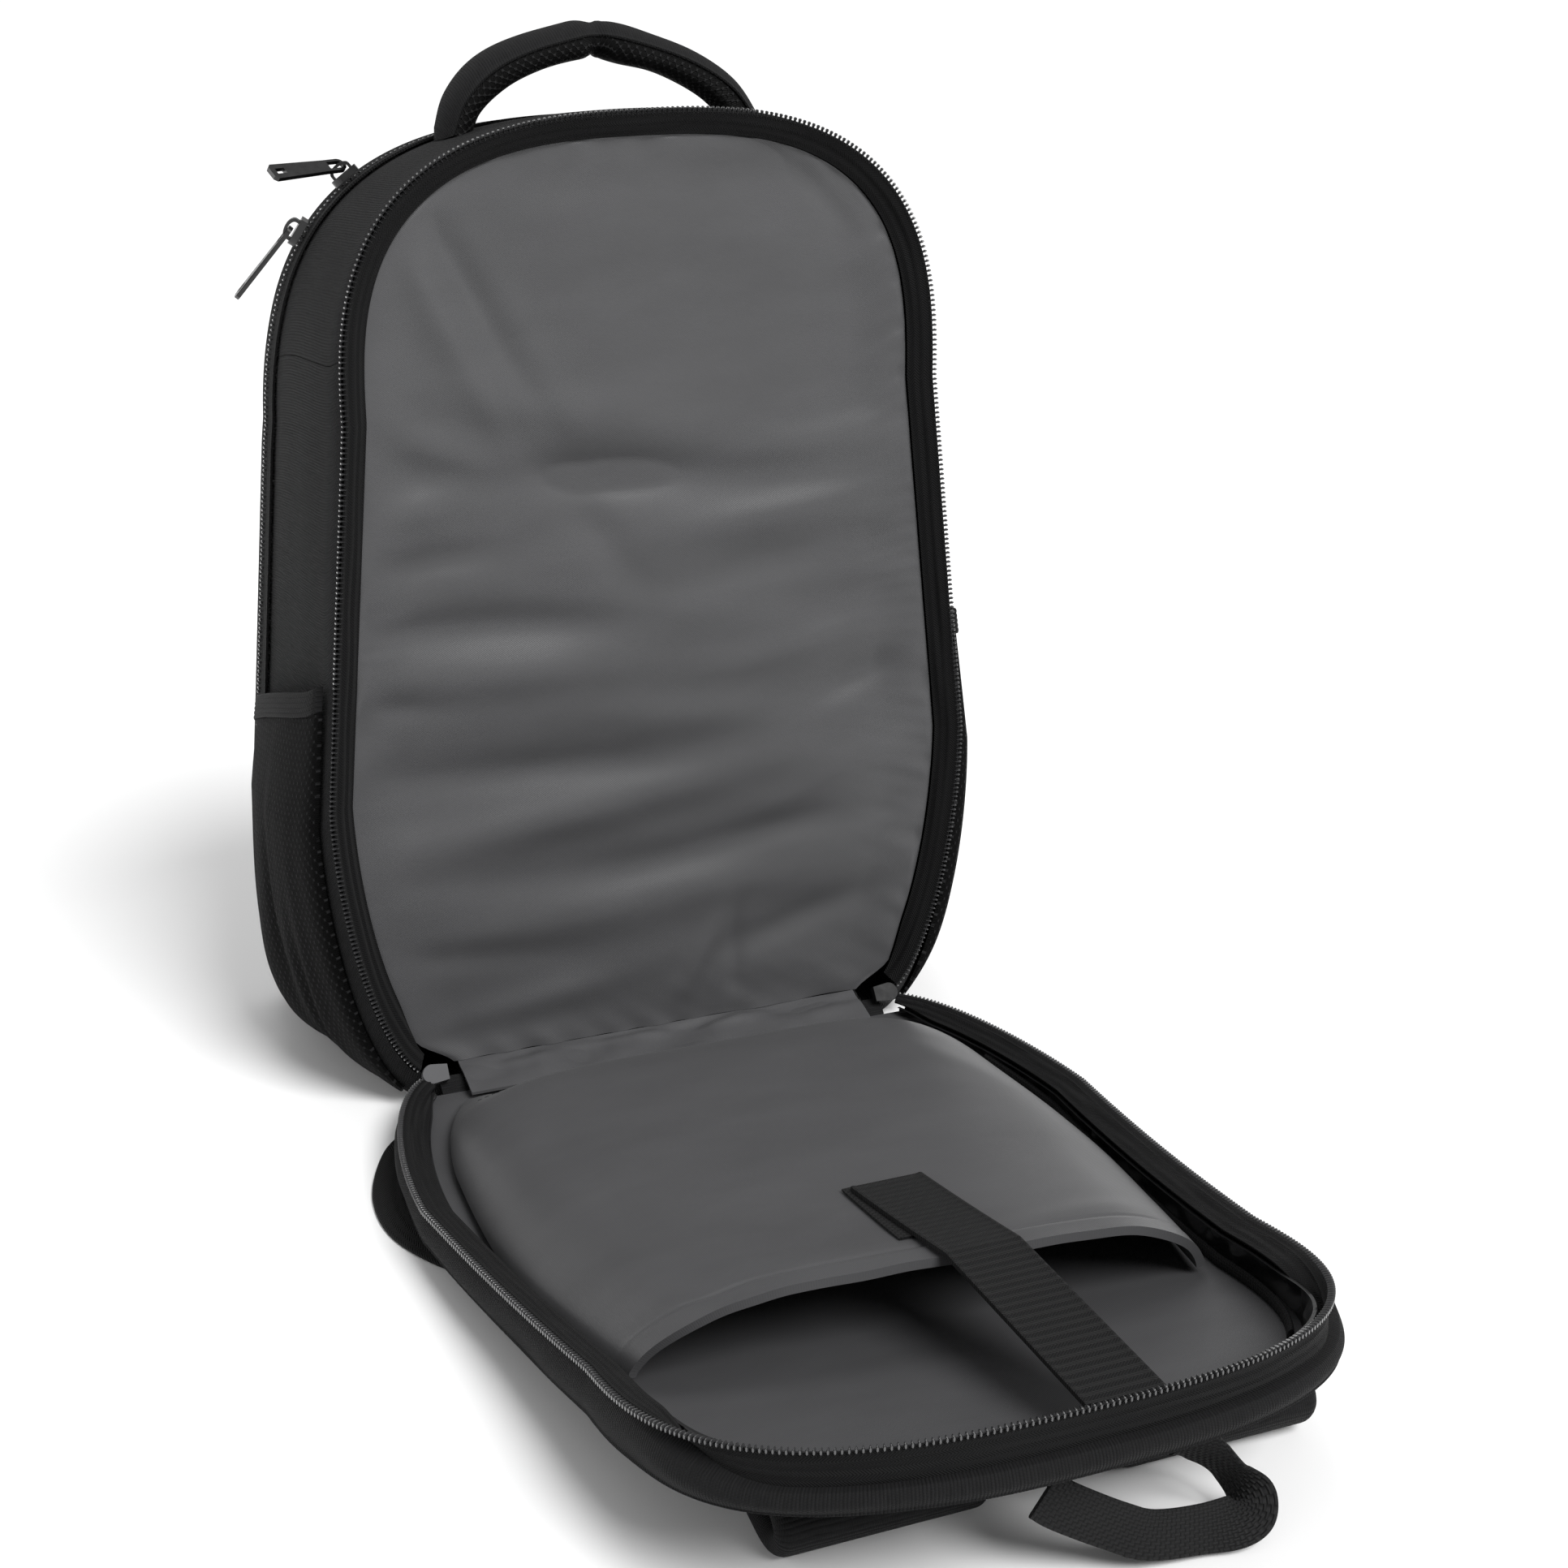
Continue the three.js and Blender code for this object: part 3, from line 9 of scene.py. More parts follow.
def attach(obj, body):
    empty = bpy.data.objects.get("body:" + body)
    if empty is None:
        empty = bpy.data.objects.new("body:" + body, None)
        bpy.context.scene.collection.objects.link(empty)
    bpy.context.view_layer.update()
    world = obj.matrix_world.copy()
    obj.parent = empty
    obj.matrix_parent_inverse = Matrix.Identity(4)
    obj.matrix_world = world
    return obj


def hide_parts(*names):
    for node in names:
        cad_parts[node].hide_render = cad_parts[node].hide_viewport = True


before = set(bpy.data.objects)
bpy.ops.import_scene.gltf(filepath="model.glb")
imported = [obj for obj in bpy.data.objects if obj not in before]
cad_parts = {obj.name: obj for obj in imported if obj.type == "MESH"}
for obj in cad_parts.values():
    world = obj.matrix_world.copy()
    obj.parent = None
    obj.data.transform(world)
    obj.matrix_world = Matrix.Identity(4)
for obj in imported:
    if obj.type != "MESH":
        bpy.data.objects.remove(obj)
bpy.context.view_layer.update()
print("stage: frame loaded,", len(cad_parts), "nodes")

# Sizes are in millimetres from the middle of the hinge seam until meshObject makes them metres
bag = dict(width=300, zipHeight=423, hinge=220, cornerHeight=134, sideHeight=302, sideTaper=16.8,
           topRound=2.757, cornerRound=1.842, depth=165, rise=18, frontSide=120, frontTop=92,
           angle=math.radians(8.14), sag=11.9, shoulderFrom=0.68, shoulderFade=0.15,
           shoulderFlat=0.3, shift=2, gap=0.3, cloth=2, lining=1.3)
packPlace = np.array([0.0, -(0.1 * bag["depth"] + bag["frontSide"]) / 2, bag["rise"]])
bodySections = dict(depth=[0, 0.03, 0.06, 0.1, 0.25, 0.4, 0.55, 0.75],
                    spread=[0.004, 0.014, 0.022, 0.028, 0.042, 0.045, 0.046, 0.04],
                    drop=[0.1, 0.5, 0.86, 1, 1, 1, 1, 1],
                    sink=[0, 0, 0.002, 0.004, 0.01, 0.018, 0.032, 0.06],
                    foot=[0, 0, 0, 0, 0.02, 0.07, 0.13, 0.18])


def lerp(a, b, k):
    return a + (b - a) * k


def smooth(x):
    x = np.clip(x, 0, 1)
    return x * x * (3 - 2 * x)


# A column of a table at places between its rows: cubic pieces whose slopes come from the rows beside
def readColumn(at, values, place):
    at, values = np.asarray(at, float), np.asarray(values, float)
    row = np.clip(np.searchsorted(at, place, side="left") - 1, 0, len(at) - 2)
    before, after = np.maximum(row - 1, 0), np.minimum(row + 2, len(at) - 1)
    span = at[row + 1] - at[row]
    slopeA = (values[row + 1] - values[before]) / (at[row + 1] - at[before])
    slopeB = (values[after] - values[row]) / (at[after] - at[row])
    k = np.clip((place - at[row]) / span, 0, 1)
    h = k * k * (3 - 2 * k)
    bend = slopeA * k * (1 - k) ** 2 - slopeB * k * k * (1 - k)
    return values[row] * (1 - h) + values[row + 1] * h + span * bend


# A bell over a distance, and one such bell near each edge of a band whose places run from 0 to 1
def bell(distance, wide):
    return np.exp(-(distance / wide) ** 2)


def edgeBells(place, at, wide):
    return bell(place - at, wide) + bell(place - (1 - at), wide)


# The zip outline from the right hinge end round to the left one: lower corners and the round top are
# superellipse quarters, the sides are straight and lean in
def makeOutline(steps=240):
    half, cut = bag["width"] / 2, bag["hinge"] / 2
    a = np.linspace(0, math.pi / 2, steps)
    lowX = cut + (half - cut) * np.sin(a) ** (2 / bag["cornerRound"])
    lowZ = bag["cornerHeight"] * (1 - np.maximum(np.cos(a), 0) ** (2 / bag["cornerRound"]))
    k = np.linspace(0, 1, steps)[1:]
    midX, midZ = half - bag["sideTaper"] * k, lerp(bag["cornerHeight"], bag["sideHeight"], k)
    a = np.linspace(0, math.pi / 2, 2 * steps)[1:]
    topX = (half - bag["sideTaper"]) * np.maximum(np.cos(a), 0) ** (2 / bag["topRound"])
    topZ = bag["sideHeight"] + (bag["zipHeight"] - bag["sideHeight"]) * np.sin(a) ** (2 / bag["topRound"])
    x, z = np.concatenate([lowX, midX, topX]), np.concatenate([lowZ, midZ, topZ])
    x, z = np.concatenate([x, -x[-2::-1]]), np.concatenate([z, z[-2::-1]])
    run = np.concatenate([[0], np.cumsum(np.hypot(np.diff(x), np.diff(z)))])
    return run / run[-1], x, z, run[-1]


outShare, outX, outZ, outLength = makeOutline()
halfWay = len(outShare) // 2 + 1


# A place on the outline with its outward direction, from points a little before and after it
def outlineAt(share):
    share = np.clip(share, 0, 1)
    reach = 3 / outLength
    before, after = np.clip(share - reach, 0, 1), np.clip(share + reach, 0, 1)
    tx = np.interp(after, outShare, outX) - np.interp(before, outShare, outX)
    tz = np.interp(after, outShare, outZ) - np.interp(before, outShare, outZ)
    size = np.hypot(tx, tz)
    return np.interp(share, outShare, outX), np.interp(share, outShare, outZ), tz / size, -tx / size


def shareAtHeight(height):
    return np.interp(height, outZ[:halfWay], outShare[:halfWay])


def insetOutline(share, inset):
    x, z, nx, nz = outlineAt(share)
    return x - nx * inset, z - nz * inset


# Half the width at a height inside the outline that is moved in by an inset
def halfInside(height, inset, lowest):
    share = np.linspace(shareAtHeight(lowest), 0.5, 1500)
    x, z = insetOutline(share, inset if np.isscalar(inset) else inset(share))
    return np.interp(height, z, x)


def fromEnds(share):
    return np.minimum(share, 1 - share) * outLength


def point(x, y, z):
    return np.stack(np.broadcast_arrays(np.asarray(x, float), y, z), axis=-1)


# The body's outer skin: the outline spreads, drops to the base and sinks at the top with the depth
def bodySkin(share, depth):
    x, z, nx, nz = outlineAt(share)
    at = depth / bag["depth"]
    part = {key: readColumn(bodySections["depth"], bodySections[key], at) for key in bodySections}
    spread, drop = part["spread"] * bag["width"] / 2, part["drop"] * bag["rise"]
    sink, foot = part["sink"] * bag["zipHeight"], part["foot"] * bag["hinge"] / 2
    low = 1 - smooth(z / bag["cornerHeight"])
    shoulder = smooth((z / bag["zipHeight"] - bag["shoulderFrom"]) / bag["shoulderFade"])
    side = nx * spread * (1 - bag["shoulderFlat"] * shoulder) + np.sign(x) * foot * low
    high = -drop + z * (bag["zipHeight"] - sink + drop) / bag["zipHeight"]
    return point(x + side - bag["shift"] * at * (1 - low), depth, high)


def unit(v):
    return v / np.maximum(np.linalg.norm(v, axis=-1, keepdims=True), 1e-9)


# Away from the body: across the two directions in which its skin runs
def bodyOut(share, depth):
    along = bodySkin(share + 0.003, depth) - bodySkin(share - 0.003, depth)
    back = bodySkin(share, depth + 2) - bodySkin(share, depth - 2)
    return unit(np.cross(back, along))


def frontZipDepth(height):
    k = smooth((height - 0.68 * bag["zipHeight"]) / (0.32 * bag["zipHeight"]))
    return lerp(bag["frontSide"], bag["frontTop"], k)


# The opened panel: its rim rises from the hinge and sags in the middle
panel = dict(wallDeep=23, wallAlong=[0, 0.1, 0.25, 0.5, 0.75, 1],
             wallShare=[0.36, 0.48, 0.6, 0.74, 0.87, 1], padThick=13, padAlong=[0, 0.2, 0.4, 0.6, 1],
             padShare=[0.38, 0.6, 0.86, 1, 0.9], padSeat=0.8)


def rimHeight(along):
    sag = bag["sag"] * np.sin(math.pi * np.clip(along / bag["zipHeight"], 0, 1))
    return along * math.sin(bag["angle"]) - sag


def wallAt(along):
    return panel["wallDeep"] * readColumn(panel["wallAlong"], panel["wallShare"], along / bag["zipHeight"])


def padAt(along):
    return panel["padThick"] * readColumn(panel["padAlong"], panel["padShare"], along / bag["zipHeight"])


def floorAt(along):
    return -wallAt(along) + bag["lining"]


def underPad(along):
    return rimHeight(along) - wallAt(along) - panel["padSeat"] - padAt(along)


def tray(x, along, level):
    return point(x, -along * math.cos(bag["angle"]), rimHeight(along) + level)


def trayRing(share, grow, level):
    x, z, nx, nz = outlineAt(share)
    return tray(x + nx * grow, z + nz * grow, level)


def upright(share):
    return smooth((outlineAt(share)[1] / bag["zipHeight"] - 0.8) / 0.15)


# Soft folds: each ridge falls off as a bell along and across its own direction. Rows: place across,
# place up, half length, half width, turn in degrees, height
def foldsAt(a, b, rows):
    total = np.zeros(np.broadcast(a, b).shape)
    for placeA, placeB, long, wide, turn, high in rows:
        c, s = math.cos(math.radians(turn)), math.sin(math.radians(turn))
        along, across = (a - placeA) * c + (b - placeB) * s, (b - placeB) * c - (a - placeA) * s
        total = total + high * np.exp(-(along / long) ** 2 - (across / wide) ** 2)
    return total


# Smooth unevenness: waves of random direction, length and phase, the same on every run
def unevenAt(a, b, size, count=14, seed=3):
    rng = np.random.default_rng(seed)
    turns = rng.uniform(0, math.pi, count)
    scales = rng.uniform(0.7, 1.8, count)
    phases = rng.uniform(0, 6, count)
    total = np.zeros(np.broadcast(a, b).shape)
    for turn, scale, phase in zip(turns, scales, phases):
        along = a * math.cos(turn) + b * math.sin(turn)
        total = total + np.sin(along * 2 * math.pi / (size * scale) + phase)
    return total / math.sqrt(count)


def grid(uSteps, vSteps, uFrom=0.0, uTo=1.0):
    return np.meshgrid(np.linspace(uFrom, uTo, uSteps + 1), np.linspace(0, 1, vSteps + 1), indexing="ij")


# A grid whose first direction goes once round, without its start again at its end
def ringGrid(steps):
    return grid(*steps, 0, 1 - 1 / (steps[0] + 1))


# Directions across a grid of points, from its neighbours
def gridNormals(points, closed=False):
    if closed:
        along = np.roll(points, -1, axis=0) - np.roll(points, 1, axis=0)
    else:
        along = np.gradient(points, axis=0)
    across = np.gradient(points, axis=1)
    return unit(np.cross(along, across))


# Lengths from the start of a line of points to each of them
def runAlong(line):
    return np.concatenate([[0], np.cumsum(np.linalg.norm(np.diff(line, axis=0), axis=-1))])


# Real lengths along both ways of a grid, in metres, measured from its middle
def gridLengths(points):
    def run(axis):
        step = np.linalg.norm(np.diff(points, axis=axis), axis=-1)
        total = np.concatenate([np.zeros_like(np.take(step, [0], axis)), np.cumsum(step, axis)], axis)
        return (total - np.take(total, [total.shape[axis] // 2], axis)) / 1000
    return np.stack([run(0), run(1)], axis=-1)


made = {}


def addPiece(name, mesh, sharp):
    mesh.shade_smooth()
    mesh.set_sharp_from_angle(angle=math.radians(sharp))
    piece = bpy.data.objects.new(name, mesh)
    bpy.context.scene.collection.objects.link(piece)
    made[name] = piece
    return piece


# A closed mesh from points and faces, in metres in the object's frame, facing outwards
def meshObject(name, points, faces, uv, sharp=45):
    mesh = bpy.data.meshes.new(name)
    place = (points.reshape(-1, 3) + packPlace) / 1000
    mesh.from_pydata(place.tolist(), [], faces)
    layer = mesh.uv_layers.new(name="cloth")
    corner = np.empty(len(mesh.loops), dtype=np.int32)
    mesh.loops.foreach_get("vertex_index", corner)
    layer.data.foreach_set("uv", uv.reshape(-1, 2)[corner].astype(np.float32).ravel())
    work = bmesh.new()
    work.from_mesh(mesh)
    bmesh.ops.remove_doubles(work, verts=work.verts, dist=2e-6)
    bmesh.ops.dissolve_degenerate(work, edges=work.edges, dist=1e-7)
    bmesh.ops.recalc_face_normals(work, faces=work.faces)
    if work.calc_volume(signed=True) < 0:
        bmesh.ops.reverse_faces(work, faces=work.faces)
    work.to_mesh(mesh)
    work.free()
    return addPiece(name, mesh, sharp)


# Two grids of points joined round their edges into one closed wall
def shell(name, outer, inner, closed=False, sharp=45, uv=None):
    rows, columns = outer.shape[:2]
    count = rows * columns
    number = np.arange(count).reshape(rows, columns)
    if closed:
        number = np.vstack([number, number[:1]])
    a, b, c, d = number[:-1, :-1], number[1:, :-1], number[1:, 1:], number[:-1, 1:]
    faces = [np.stack([a, b, c, d], -1).reshape(-1, 4)]
    faces.append(np.stack([a, d, c, b], -1).reshape(-1, 4) + count)
    edges = [(number[:, 0], 1), (number[:, -1], -1)]
    if not closed:
        edges += [(number[0], -1), (number[-1], 1)]
    for line, way in edges:
        near, far = line[:-1], line[1:]
        if way > 0:
            faces.append(np.stack([near, near + count, far + count, far], -1))
        else:
            faces.append(np.stack([near, far, far + count, near + count], -1))
    uv = gridLengths(outer) if uv is None else uv
    uv = np.concatenate([uv.reshape(-1, 2)] * 2)
    both = np.concatenate([outer.reshape(-1, 3), inner.reshape(-1, 3)])
    return meshObject(name, both, np.concatenate(faces).tolist(), uv, sharp)


# Rings of points along a path joined into one closed body, with flat ends
def sweep(name, rings, sharp=45, uv=None):
    rows, sides = rings.shape[:2]
    number = np.arange(rows * sides).reshape(rows, sides)
    turned = np.roll(number, -1, axis=1)
    faces = np.stack([number[:-1], turned[:-1], turned[1:], number[1:]], -1).reshape(-1, 4).tolist()
    faces += [number[0][::-1].tolist(), number[-1].tolist()]
    if uv is None:
        step = np.linalg.norm(np.roll(rings, -1, axis=1) - rings, axis=-1)
        around = (np.cumsum(step, axis=1) - step) / 1000
        run = runAlong(rings.mean(axis=1)) / 1000
        uv = np.stack([np.broadcast_to(run[:, None], around.shape), around], -1)
    return meshObject(name, rings, faces, uv, sharp)


# Many copies of one small shape: each copy's corners are its place plus the shape along three directions
def scatter(name, shape, faces, places, along, out, up, sharp=40):
    corner = sum(shape[None, :, i:i + 1] * way[:, None] for i, way in enumerate((along, out, up)))
    points = places[:, None] + corner
    count = shape.shape[0]
    every = [[i + k * count for i in face] for k in range(len(places)) for face in faces]
    mesh = bpy.data.meshes.new(name)
    mesh.from_pydata(((points.reshape(-1, 3) + packPlace) / 1000).tolist(), [], every)
    return addPiece(name, mesh, sharp)


def settle(piece, look, nodes, body="root"):
    piece.data.materials.clear()
    piece.data.materials.append(looks[look])
    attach(piece, body)
    if nodes:
        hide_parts(*nodes)


# Materials: each group of nodes takes a place and some lengths, and gives a height and a mask

def newGroup(name, lengths, results):
    tree = bpy.data.node_groups.new(name, "ShaderNodeTree")
    tree.interface.new_socket("Place", in_out="INPUT", socket_type="NodeSocketVector")
    for label, value in lengths.items():
        socket = tree.interface.new_socket(label, in_out="INPUT", socket_type="NodeSocketFloat")
        socket.default_value = value
    for label in results:
        tree.interface.new_socket(label, in_out="OUTPUT", socket_type="NodeSocketFloat")
    given, result = tree.nodes.new("NodeGroupInput"), tree.nodes.new("NodeGroupOutput")
    return tree, given.outputs, result.inputs


# One Math node; numbers are set on its sockets and sockets are linked to them
def calc(tree, kind, *values, clamp=False):
    node = tree.nodes.new("ShaderNodeMath")
    node.operation, node.use_clamp = kind, clamp
    for slot, value in enumerate(values):
        if isinstance(value, (int, float)):
            node.inputs[slot].default_value = value
        else:
            tree.links.new(value, node.inputs[slot])
    return node.outputs[0]


# Sine of a place; a half wave is as long as the given length
def sineOf(tree, place, length):
    return calc(tree, "SINE", calc(tree, "DIVIDE", calc(tree, "MULTIPLY", place, math.pi), length))


def splitPlace(tree, place):
    node = tree.nodes.new("ShaderNodeSeparateXYZ")
    tree.links.new(place, node.inputs[0])
    return node.outputs[0], node.outputs[1]


def noiseAt(tree, place, scale, detail=2.0, rough=0.5, stretch=(1, 1, 1)):
    mapping = tree.nodes.new("ShaderNodeMapping")
    mapping.inputs["Scale"].default_value = stretch
    noise = tree.nodes.new("ShaderNodeTexNoise")
    noise.inputs["Scale"].default_value = scale
    noise.inputs["Detail"].default_value = detail
    noise.inputs["Roughness"].default_value = rough
    tree.links.new(place, mapping.inputs["Vector"])
    tree.links.new(mapping.outputs[0], noise.inputs["Vector"])
    return noise.outputs["Fac"]


# Ribs across the second direction, broken into threads along the first
def makeRibs():
    lengths = dict(Pitch=0.001, Thread=0.0006)
    tree, given, result = newGroup("Fabric ribs", lengths, ("Height", "Fleck"))
    x, y = splitPlace(tree, given["Place"])
    wander = noiseAt(tree, given["Place"], 60, 2)
    shifted = calc(tree, "MULTIPLY_ADD", wander, 0.0008, y)
    rib = calc(tree, "ABSOLUTE", sineOf(tree, shifted, given["Pitch"]))
    row = calc(tree, "FLOOR", calc(tree, "DIVIDE", shifted, given["Pitch"]))
    slide = calc(tree, "MULTIPLY_ADD", row, 0.5, calc(tree, "DIVIDE", x, given["Thread"]))
    thread = calc(tree, "ABSOLUTE", calc(tree, "SINE", calc(tree, "MULTIPLY", slide, math.pi)))
    height = calc(tree, "MULTIPLY_ADD", thread, 0.35, calc(tree, "MULTIPLY", rib, 0.65))
    tree.links.new(height, result["Height"])
    fleck = noiseAt(tree, given["Place"], 620, 2, 0.65, (0.22, 2.4, 1))
    tree.links.new(fleck, result["Fleck"])
    return tree


# Diagonal twill lines, very fine, with slow lighter and darker patches that are painted sheen: they stand in for
# the soft bands of light on the satin
def makeTwill():
    tree, given, result = newGroup("Satin twill", dict(Pitch=0.0007), ("Height", "PaintedSheen"))
    x, y = splitPlace(tree, given["Place"])
    slant = calc(tree, "ADD", calc(tree, "MULTIPLY", x, 0.85), y)
    line = sineOf(tree, calc(tree, "MULTIPLY", slant, 2), given["Pitch"])
    grain = noiseAt(tree, given["Place"], 1400, 1, 0.5, (1, 0.4, 1))
    height = calc(tree, "MULTIPLY_ADD", grain, 0.6, calc(tree, "MULTIPLY", line, 0.4))
    tree.links.new(height, result["Height"])
    paintedSheen = noiseAt(tree, given["Place"], 14, 3, 0.55, (1, 2.2, 1))
    tree.links.new(paintedSheen, result["PaintedSheen"])
    return tree


# Staggered long holes: the nearer of two shifted lattices, each hole an ellipse
def makeAirMesh():
    lengths = dict(Across=0.0034, Along=0.0052, Open=0.33)
    tree, given, result = newGroup("Air mesh", lengths, ("Hole", "Height"))
    x, y = splitPlace(tree, given["Place"])
    bend = noiseAt(tree, given["Place"], 45, 2)
    x = calc(tree, "DIVIDE", calc(tree, "MULTIPLY_ADD", bend, 0.0012, x), given["Across"])
    y = calc(tree, "DIVIDE", y, given["Along"])
    reach = []
    for shift in (0.0, 0.5):
        a = calc(tree, "SUBTRACT", calc(tree, "FRACT", calc(tree, "ADD", x, shift)), 0.5)
        b = calc(tree, "SUBTRACT", calc(tree, "FRACT", calc(tree, "ADD", y, shift)), 0.5)
        square = calc(tree, "ADD", calc(tree, "MULTIPLY", a, a), calc(tree, "MULTIPLY", b, b))
        reach.append(calc(tree, "SQRT", square))
    near = calc(tree, "MINIMUM", *reach)
    edge = calc(tree, "SUBTRACT", near, given["Open"])
    height = calc(tree, "MULTIPLY", edge, 9, clamp=True)
    hole = calc(tree, "SUBTRACT", 1, height)
    slant = calc(tree, "ADD", calc(tree, "MULTIPLY", x, 4.5), calc(tree, "MULTIPLY", y, 6.5))
    strand = calc(tree, "SINE", calc(tree, "MULTIPLY", slant, 6.28))
    tree.links.new(hole, result["Hole"])
    tree.links.new(calc(tree, "MULTIPLY_ADD", strand, 0.12, height), result["Height"])
    return tree


# Zigzag threads: slanting lines whose side changes from one band to the next
def makeHerringbone():
    lengths = dict(Band=0.0035, Pitch=0.0011)
    tree, given, result = newGroup("Herringbone", lengths, ("Height",))
    x, y = splitPlace(tree, given["Place"])
    inBand = calc(tree, "FRACT", calc(tree, "DIVIDE", y, given["Band"]))
    fold = calc(tree, "ABSOLUTE", calc(tree, "SUBTRACT", inBand, 0.5))
    climb = calc(tree, "MULTIPLY", calc(tree, "MULTIPLY", fold, given["Band"]), 1.2)
    line = sineOf(tree, calc(tree, "ADD", x, climb), given["Pitch"])
    tree.links.new(calc(tree, "ABSOLUTE", line), result["Height"])
    return tree


# Plain weave: threads of the two directions take turns on top, as in a chequerboard
def makeBasket():
    lengths = dict(Along=0.0022, Across=0.0016)
    tree, given, result = newGroup("Webbing weave", lengths, ("Height",))
    x, y = splitPlace(tree, given["Place"])
    a = sineOf(tree, x, given["Along"])
    b = sineOf(tree, y, given["Across"])
    turn = calc(tree, "GREATER_THAN", calc(tree, "MULTIPLY", a, b), 0)
    warp = calc(tree, "MULTIPLY", calc(tree, "ABSOLUTE", a), turn)
    weft = calc(tree, "MULTIPLY", calc(tree, "ABSOLUTE", b), calc(tree, "SUBTRACT", 1, turn))
    fuzz = noiseAt(tree, given["Place"], 1600, 1)
    height = calc(tree, "MULTIPLY_ADD", fuzz, 0.25, calc(tree, "ADD", warp, weft))
    tree.links.new(height, result["Height"])
    return tree


# Fine scratches and specks on moulded and lacquered parts, in Object coordinates
def makeWear():
    tree, given, result = newGroup("Fine wear", {}, ("Mask", "Height"))
    cloud = noiseAt(tree, given["Place"], 260, 3, 0.6)
    scratch = noiseAt(tree, given["Place"], 900, 2, 0.7, (0.2, 2.5, 1))
    mask = calc(tree, "SUBTRACT", calc(tree, "MULTIPLY", cloud, 2.2), 0.7, clamp=True)
    tree.links.new(mask, result["Mask"])
    tree.links.new(scratch, result["Height"])
    return tree


groups = dict(ribs=makeRibs(), twill=makeTwill(), mesh=makeAirMesh(), herringbone=makeHerringbone(),
              basket=makeBasket(), wear=makeWear())
looks = {}


# A grey that is a little cooler than neutral
def grey(value):
    return (value, value, value * 1.04, 1)


# A material whose colour runs between two greys by a mask and whose bump, given as strength and distance,
# is a group's height
def makeLook(name, group, values, dark, light, rough, bump, tone="Height", sheen=0.0, coat=0.0, metal=0.0,
             spec=0.5, swap=False, roughSpan=0.0):
    material = bpy.data.materials.new(name)
    material.use_nodes = True
    tree = material.node_tree
    shader = tree.nodes["Principled BSDF"]
    if group == "wear":
        place = tree.nodes.new("ShaderNodeTexCoord").outputs["Object"]
    else:
        uvMap = tree.nodes.new("ShaderNodeUVMap")
        uvMap.uv_map = "cloth"
        place = uvMap.outputs[0]
        if swap:  # the pattern turned a quarter
            turn = tree.nodes.new("ShaderNodeMapping")
            turn.inputs["Rotation"].default_value = (0, 0, math.pi / 2)
            tree.links.new(place, turn.inputs["Vector"])
            place = turn.outputs[0]
    node = tree.nodes.new("ShaderNodeGroup")
    node.node_tree = groups[group]
    tree.links.new(place, node.inputs["Place"])
    for key, value in values.items():
        node.inputs[key].default_value = value
    mask = node.outputs[tone]
    mix = tree.nodes.new("ShaderNodeMix")
    mix.data_type = "RGBA"
    mix.inputs["A"].default_value = grey(dark)
    mix.inputs["B"].default_value = grey(light)
    tree.links.new(mask, mix.inputs["Factor"])
    tree.links.new(mix.outputs["Result"], shader.inputs["Base Color"])
    constants = {"Roughness": rough, "Sheen Weight": sheen, "Sheen Roughness": 0.4, "Coat Weight": coat,
                 "Coat Roughness": 0.12, "Metallic": metal, "Specular IOR Level": spec}
    for key, value in constants.items():
        shader.inputs[key].default_value = value
    if roughSpan:
        tree.links.new(calc(tree, "MULTIPLY_ADD", mask, roughSpan, rough), shader.inputs["Roughness"])
    relief = tree.nodes.new("ShaderNodeBump")
    relief.inputs["Strength"].default_value = bump[0]
    relief.inputs["Distance"].default_value = bump[1]
    tree.links.new(node.outputs["Height"], relief.inputs["Height"])
    tree.links.new(relief.outputs[0], shader.inputs["Normal"])
    looks[name] = material


ribs = dict(Pitch=0.0012, Thread=0.0009)
makeLook("sideFabric", "ribs", ribs, 0.003, 0.02, 0.8, (1.0, 0.0005), "Fleck", sheen=0.02, spec=0.1)
makeLook("wallFabric", "ribs", ribs, 0.003, 0.014, 0.8, (1.0, 0.0004), "Fleck", sheen=0.02, spec=0.12,
         swap=True)
twill = dict(Pitch=0.0009)
# Lining and dark lining: the mix between their two greys by the slow patches is painted sheen of the satin; the
# shader's specular gives the rest of its gloss
makeLook("lining", "twill", twill, 0.047, 0.072, 0.4, (0.35, 0.00014), "PaintedSheen", sheen=0.04, spec=0.4)
makeLook("darkLining", "twill", twill, 0.008, 0.016, 0.34, (0.3, 0.00012), "PaintedSheen", spec=0.45)
# Air mesh on the pockets, handle and back pad: the holes are painted near black, partly the black cloth behind
# them and partly painted shade in the gaps; the strands' lighter grey is the black thread with some painted
# highlight
makeLook("pocketMesh", "mesh", dict(Across=0.0036, Along=0.0058, Open=0.33), 0.02, 0.0002, 0.7,
         (1.0, 0.0012), "Hole", spec=0.08)
makeLook("handleMesh", "mesh", dict(Across=0.0036, Along=0.0044, Open=0.3), 0.022, 0.0002, 0.62,
         (1.0, 0.0012), "Hole", spec=0.2)
makeLook("zipTape", "herringbone", dict(Band=0.0036, Pitch=0.0012), 0.0015, 0.006, 0.75, (0.8, 0.0003),
         sheen=0.02, spec=0.14)
makeLook("strapWeave", "herringbone", dict(Band=0.0042, Pitch=0.0013), 0.0015, 0.0075, 0.7,
         (1.0, 0.0004), sheen=0.02, spec=0.2)
makeLook("webbing", "basket", dict(Along=0.0018, Across=0.0013), 0.0015, 0.0075, 0.7, (1.0, 0.0004),
         sheen=0.02, spec=0.2)
makeLook("elastic", "basket", dict(Along=0.0010, Across=0.0012), 0.002, 0.008, 0.75, (0.8, 0.0003),
         sheen=0.02, spec=0.16)
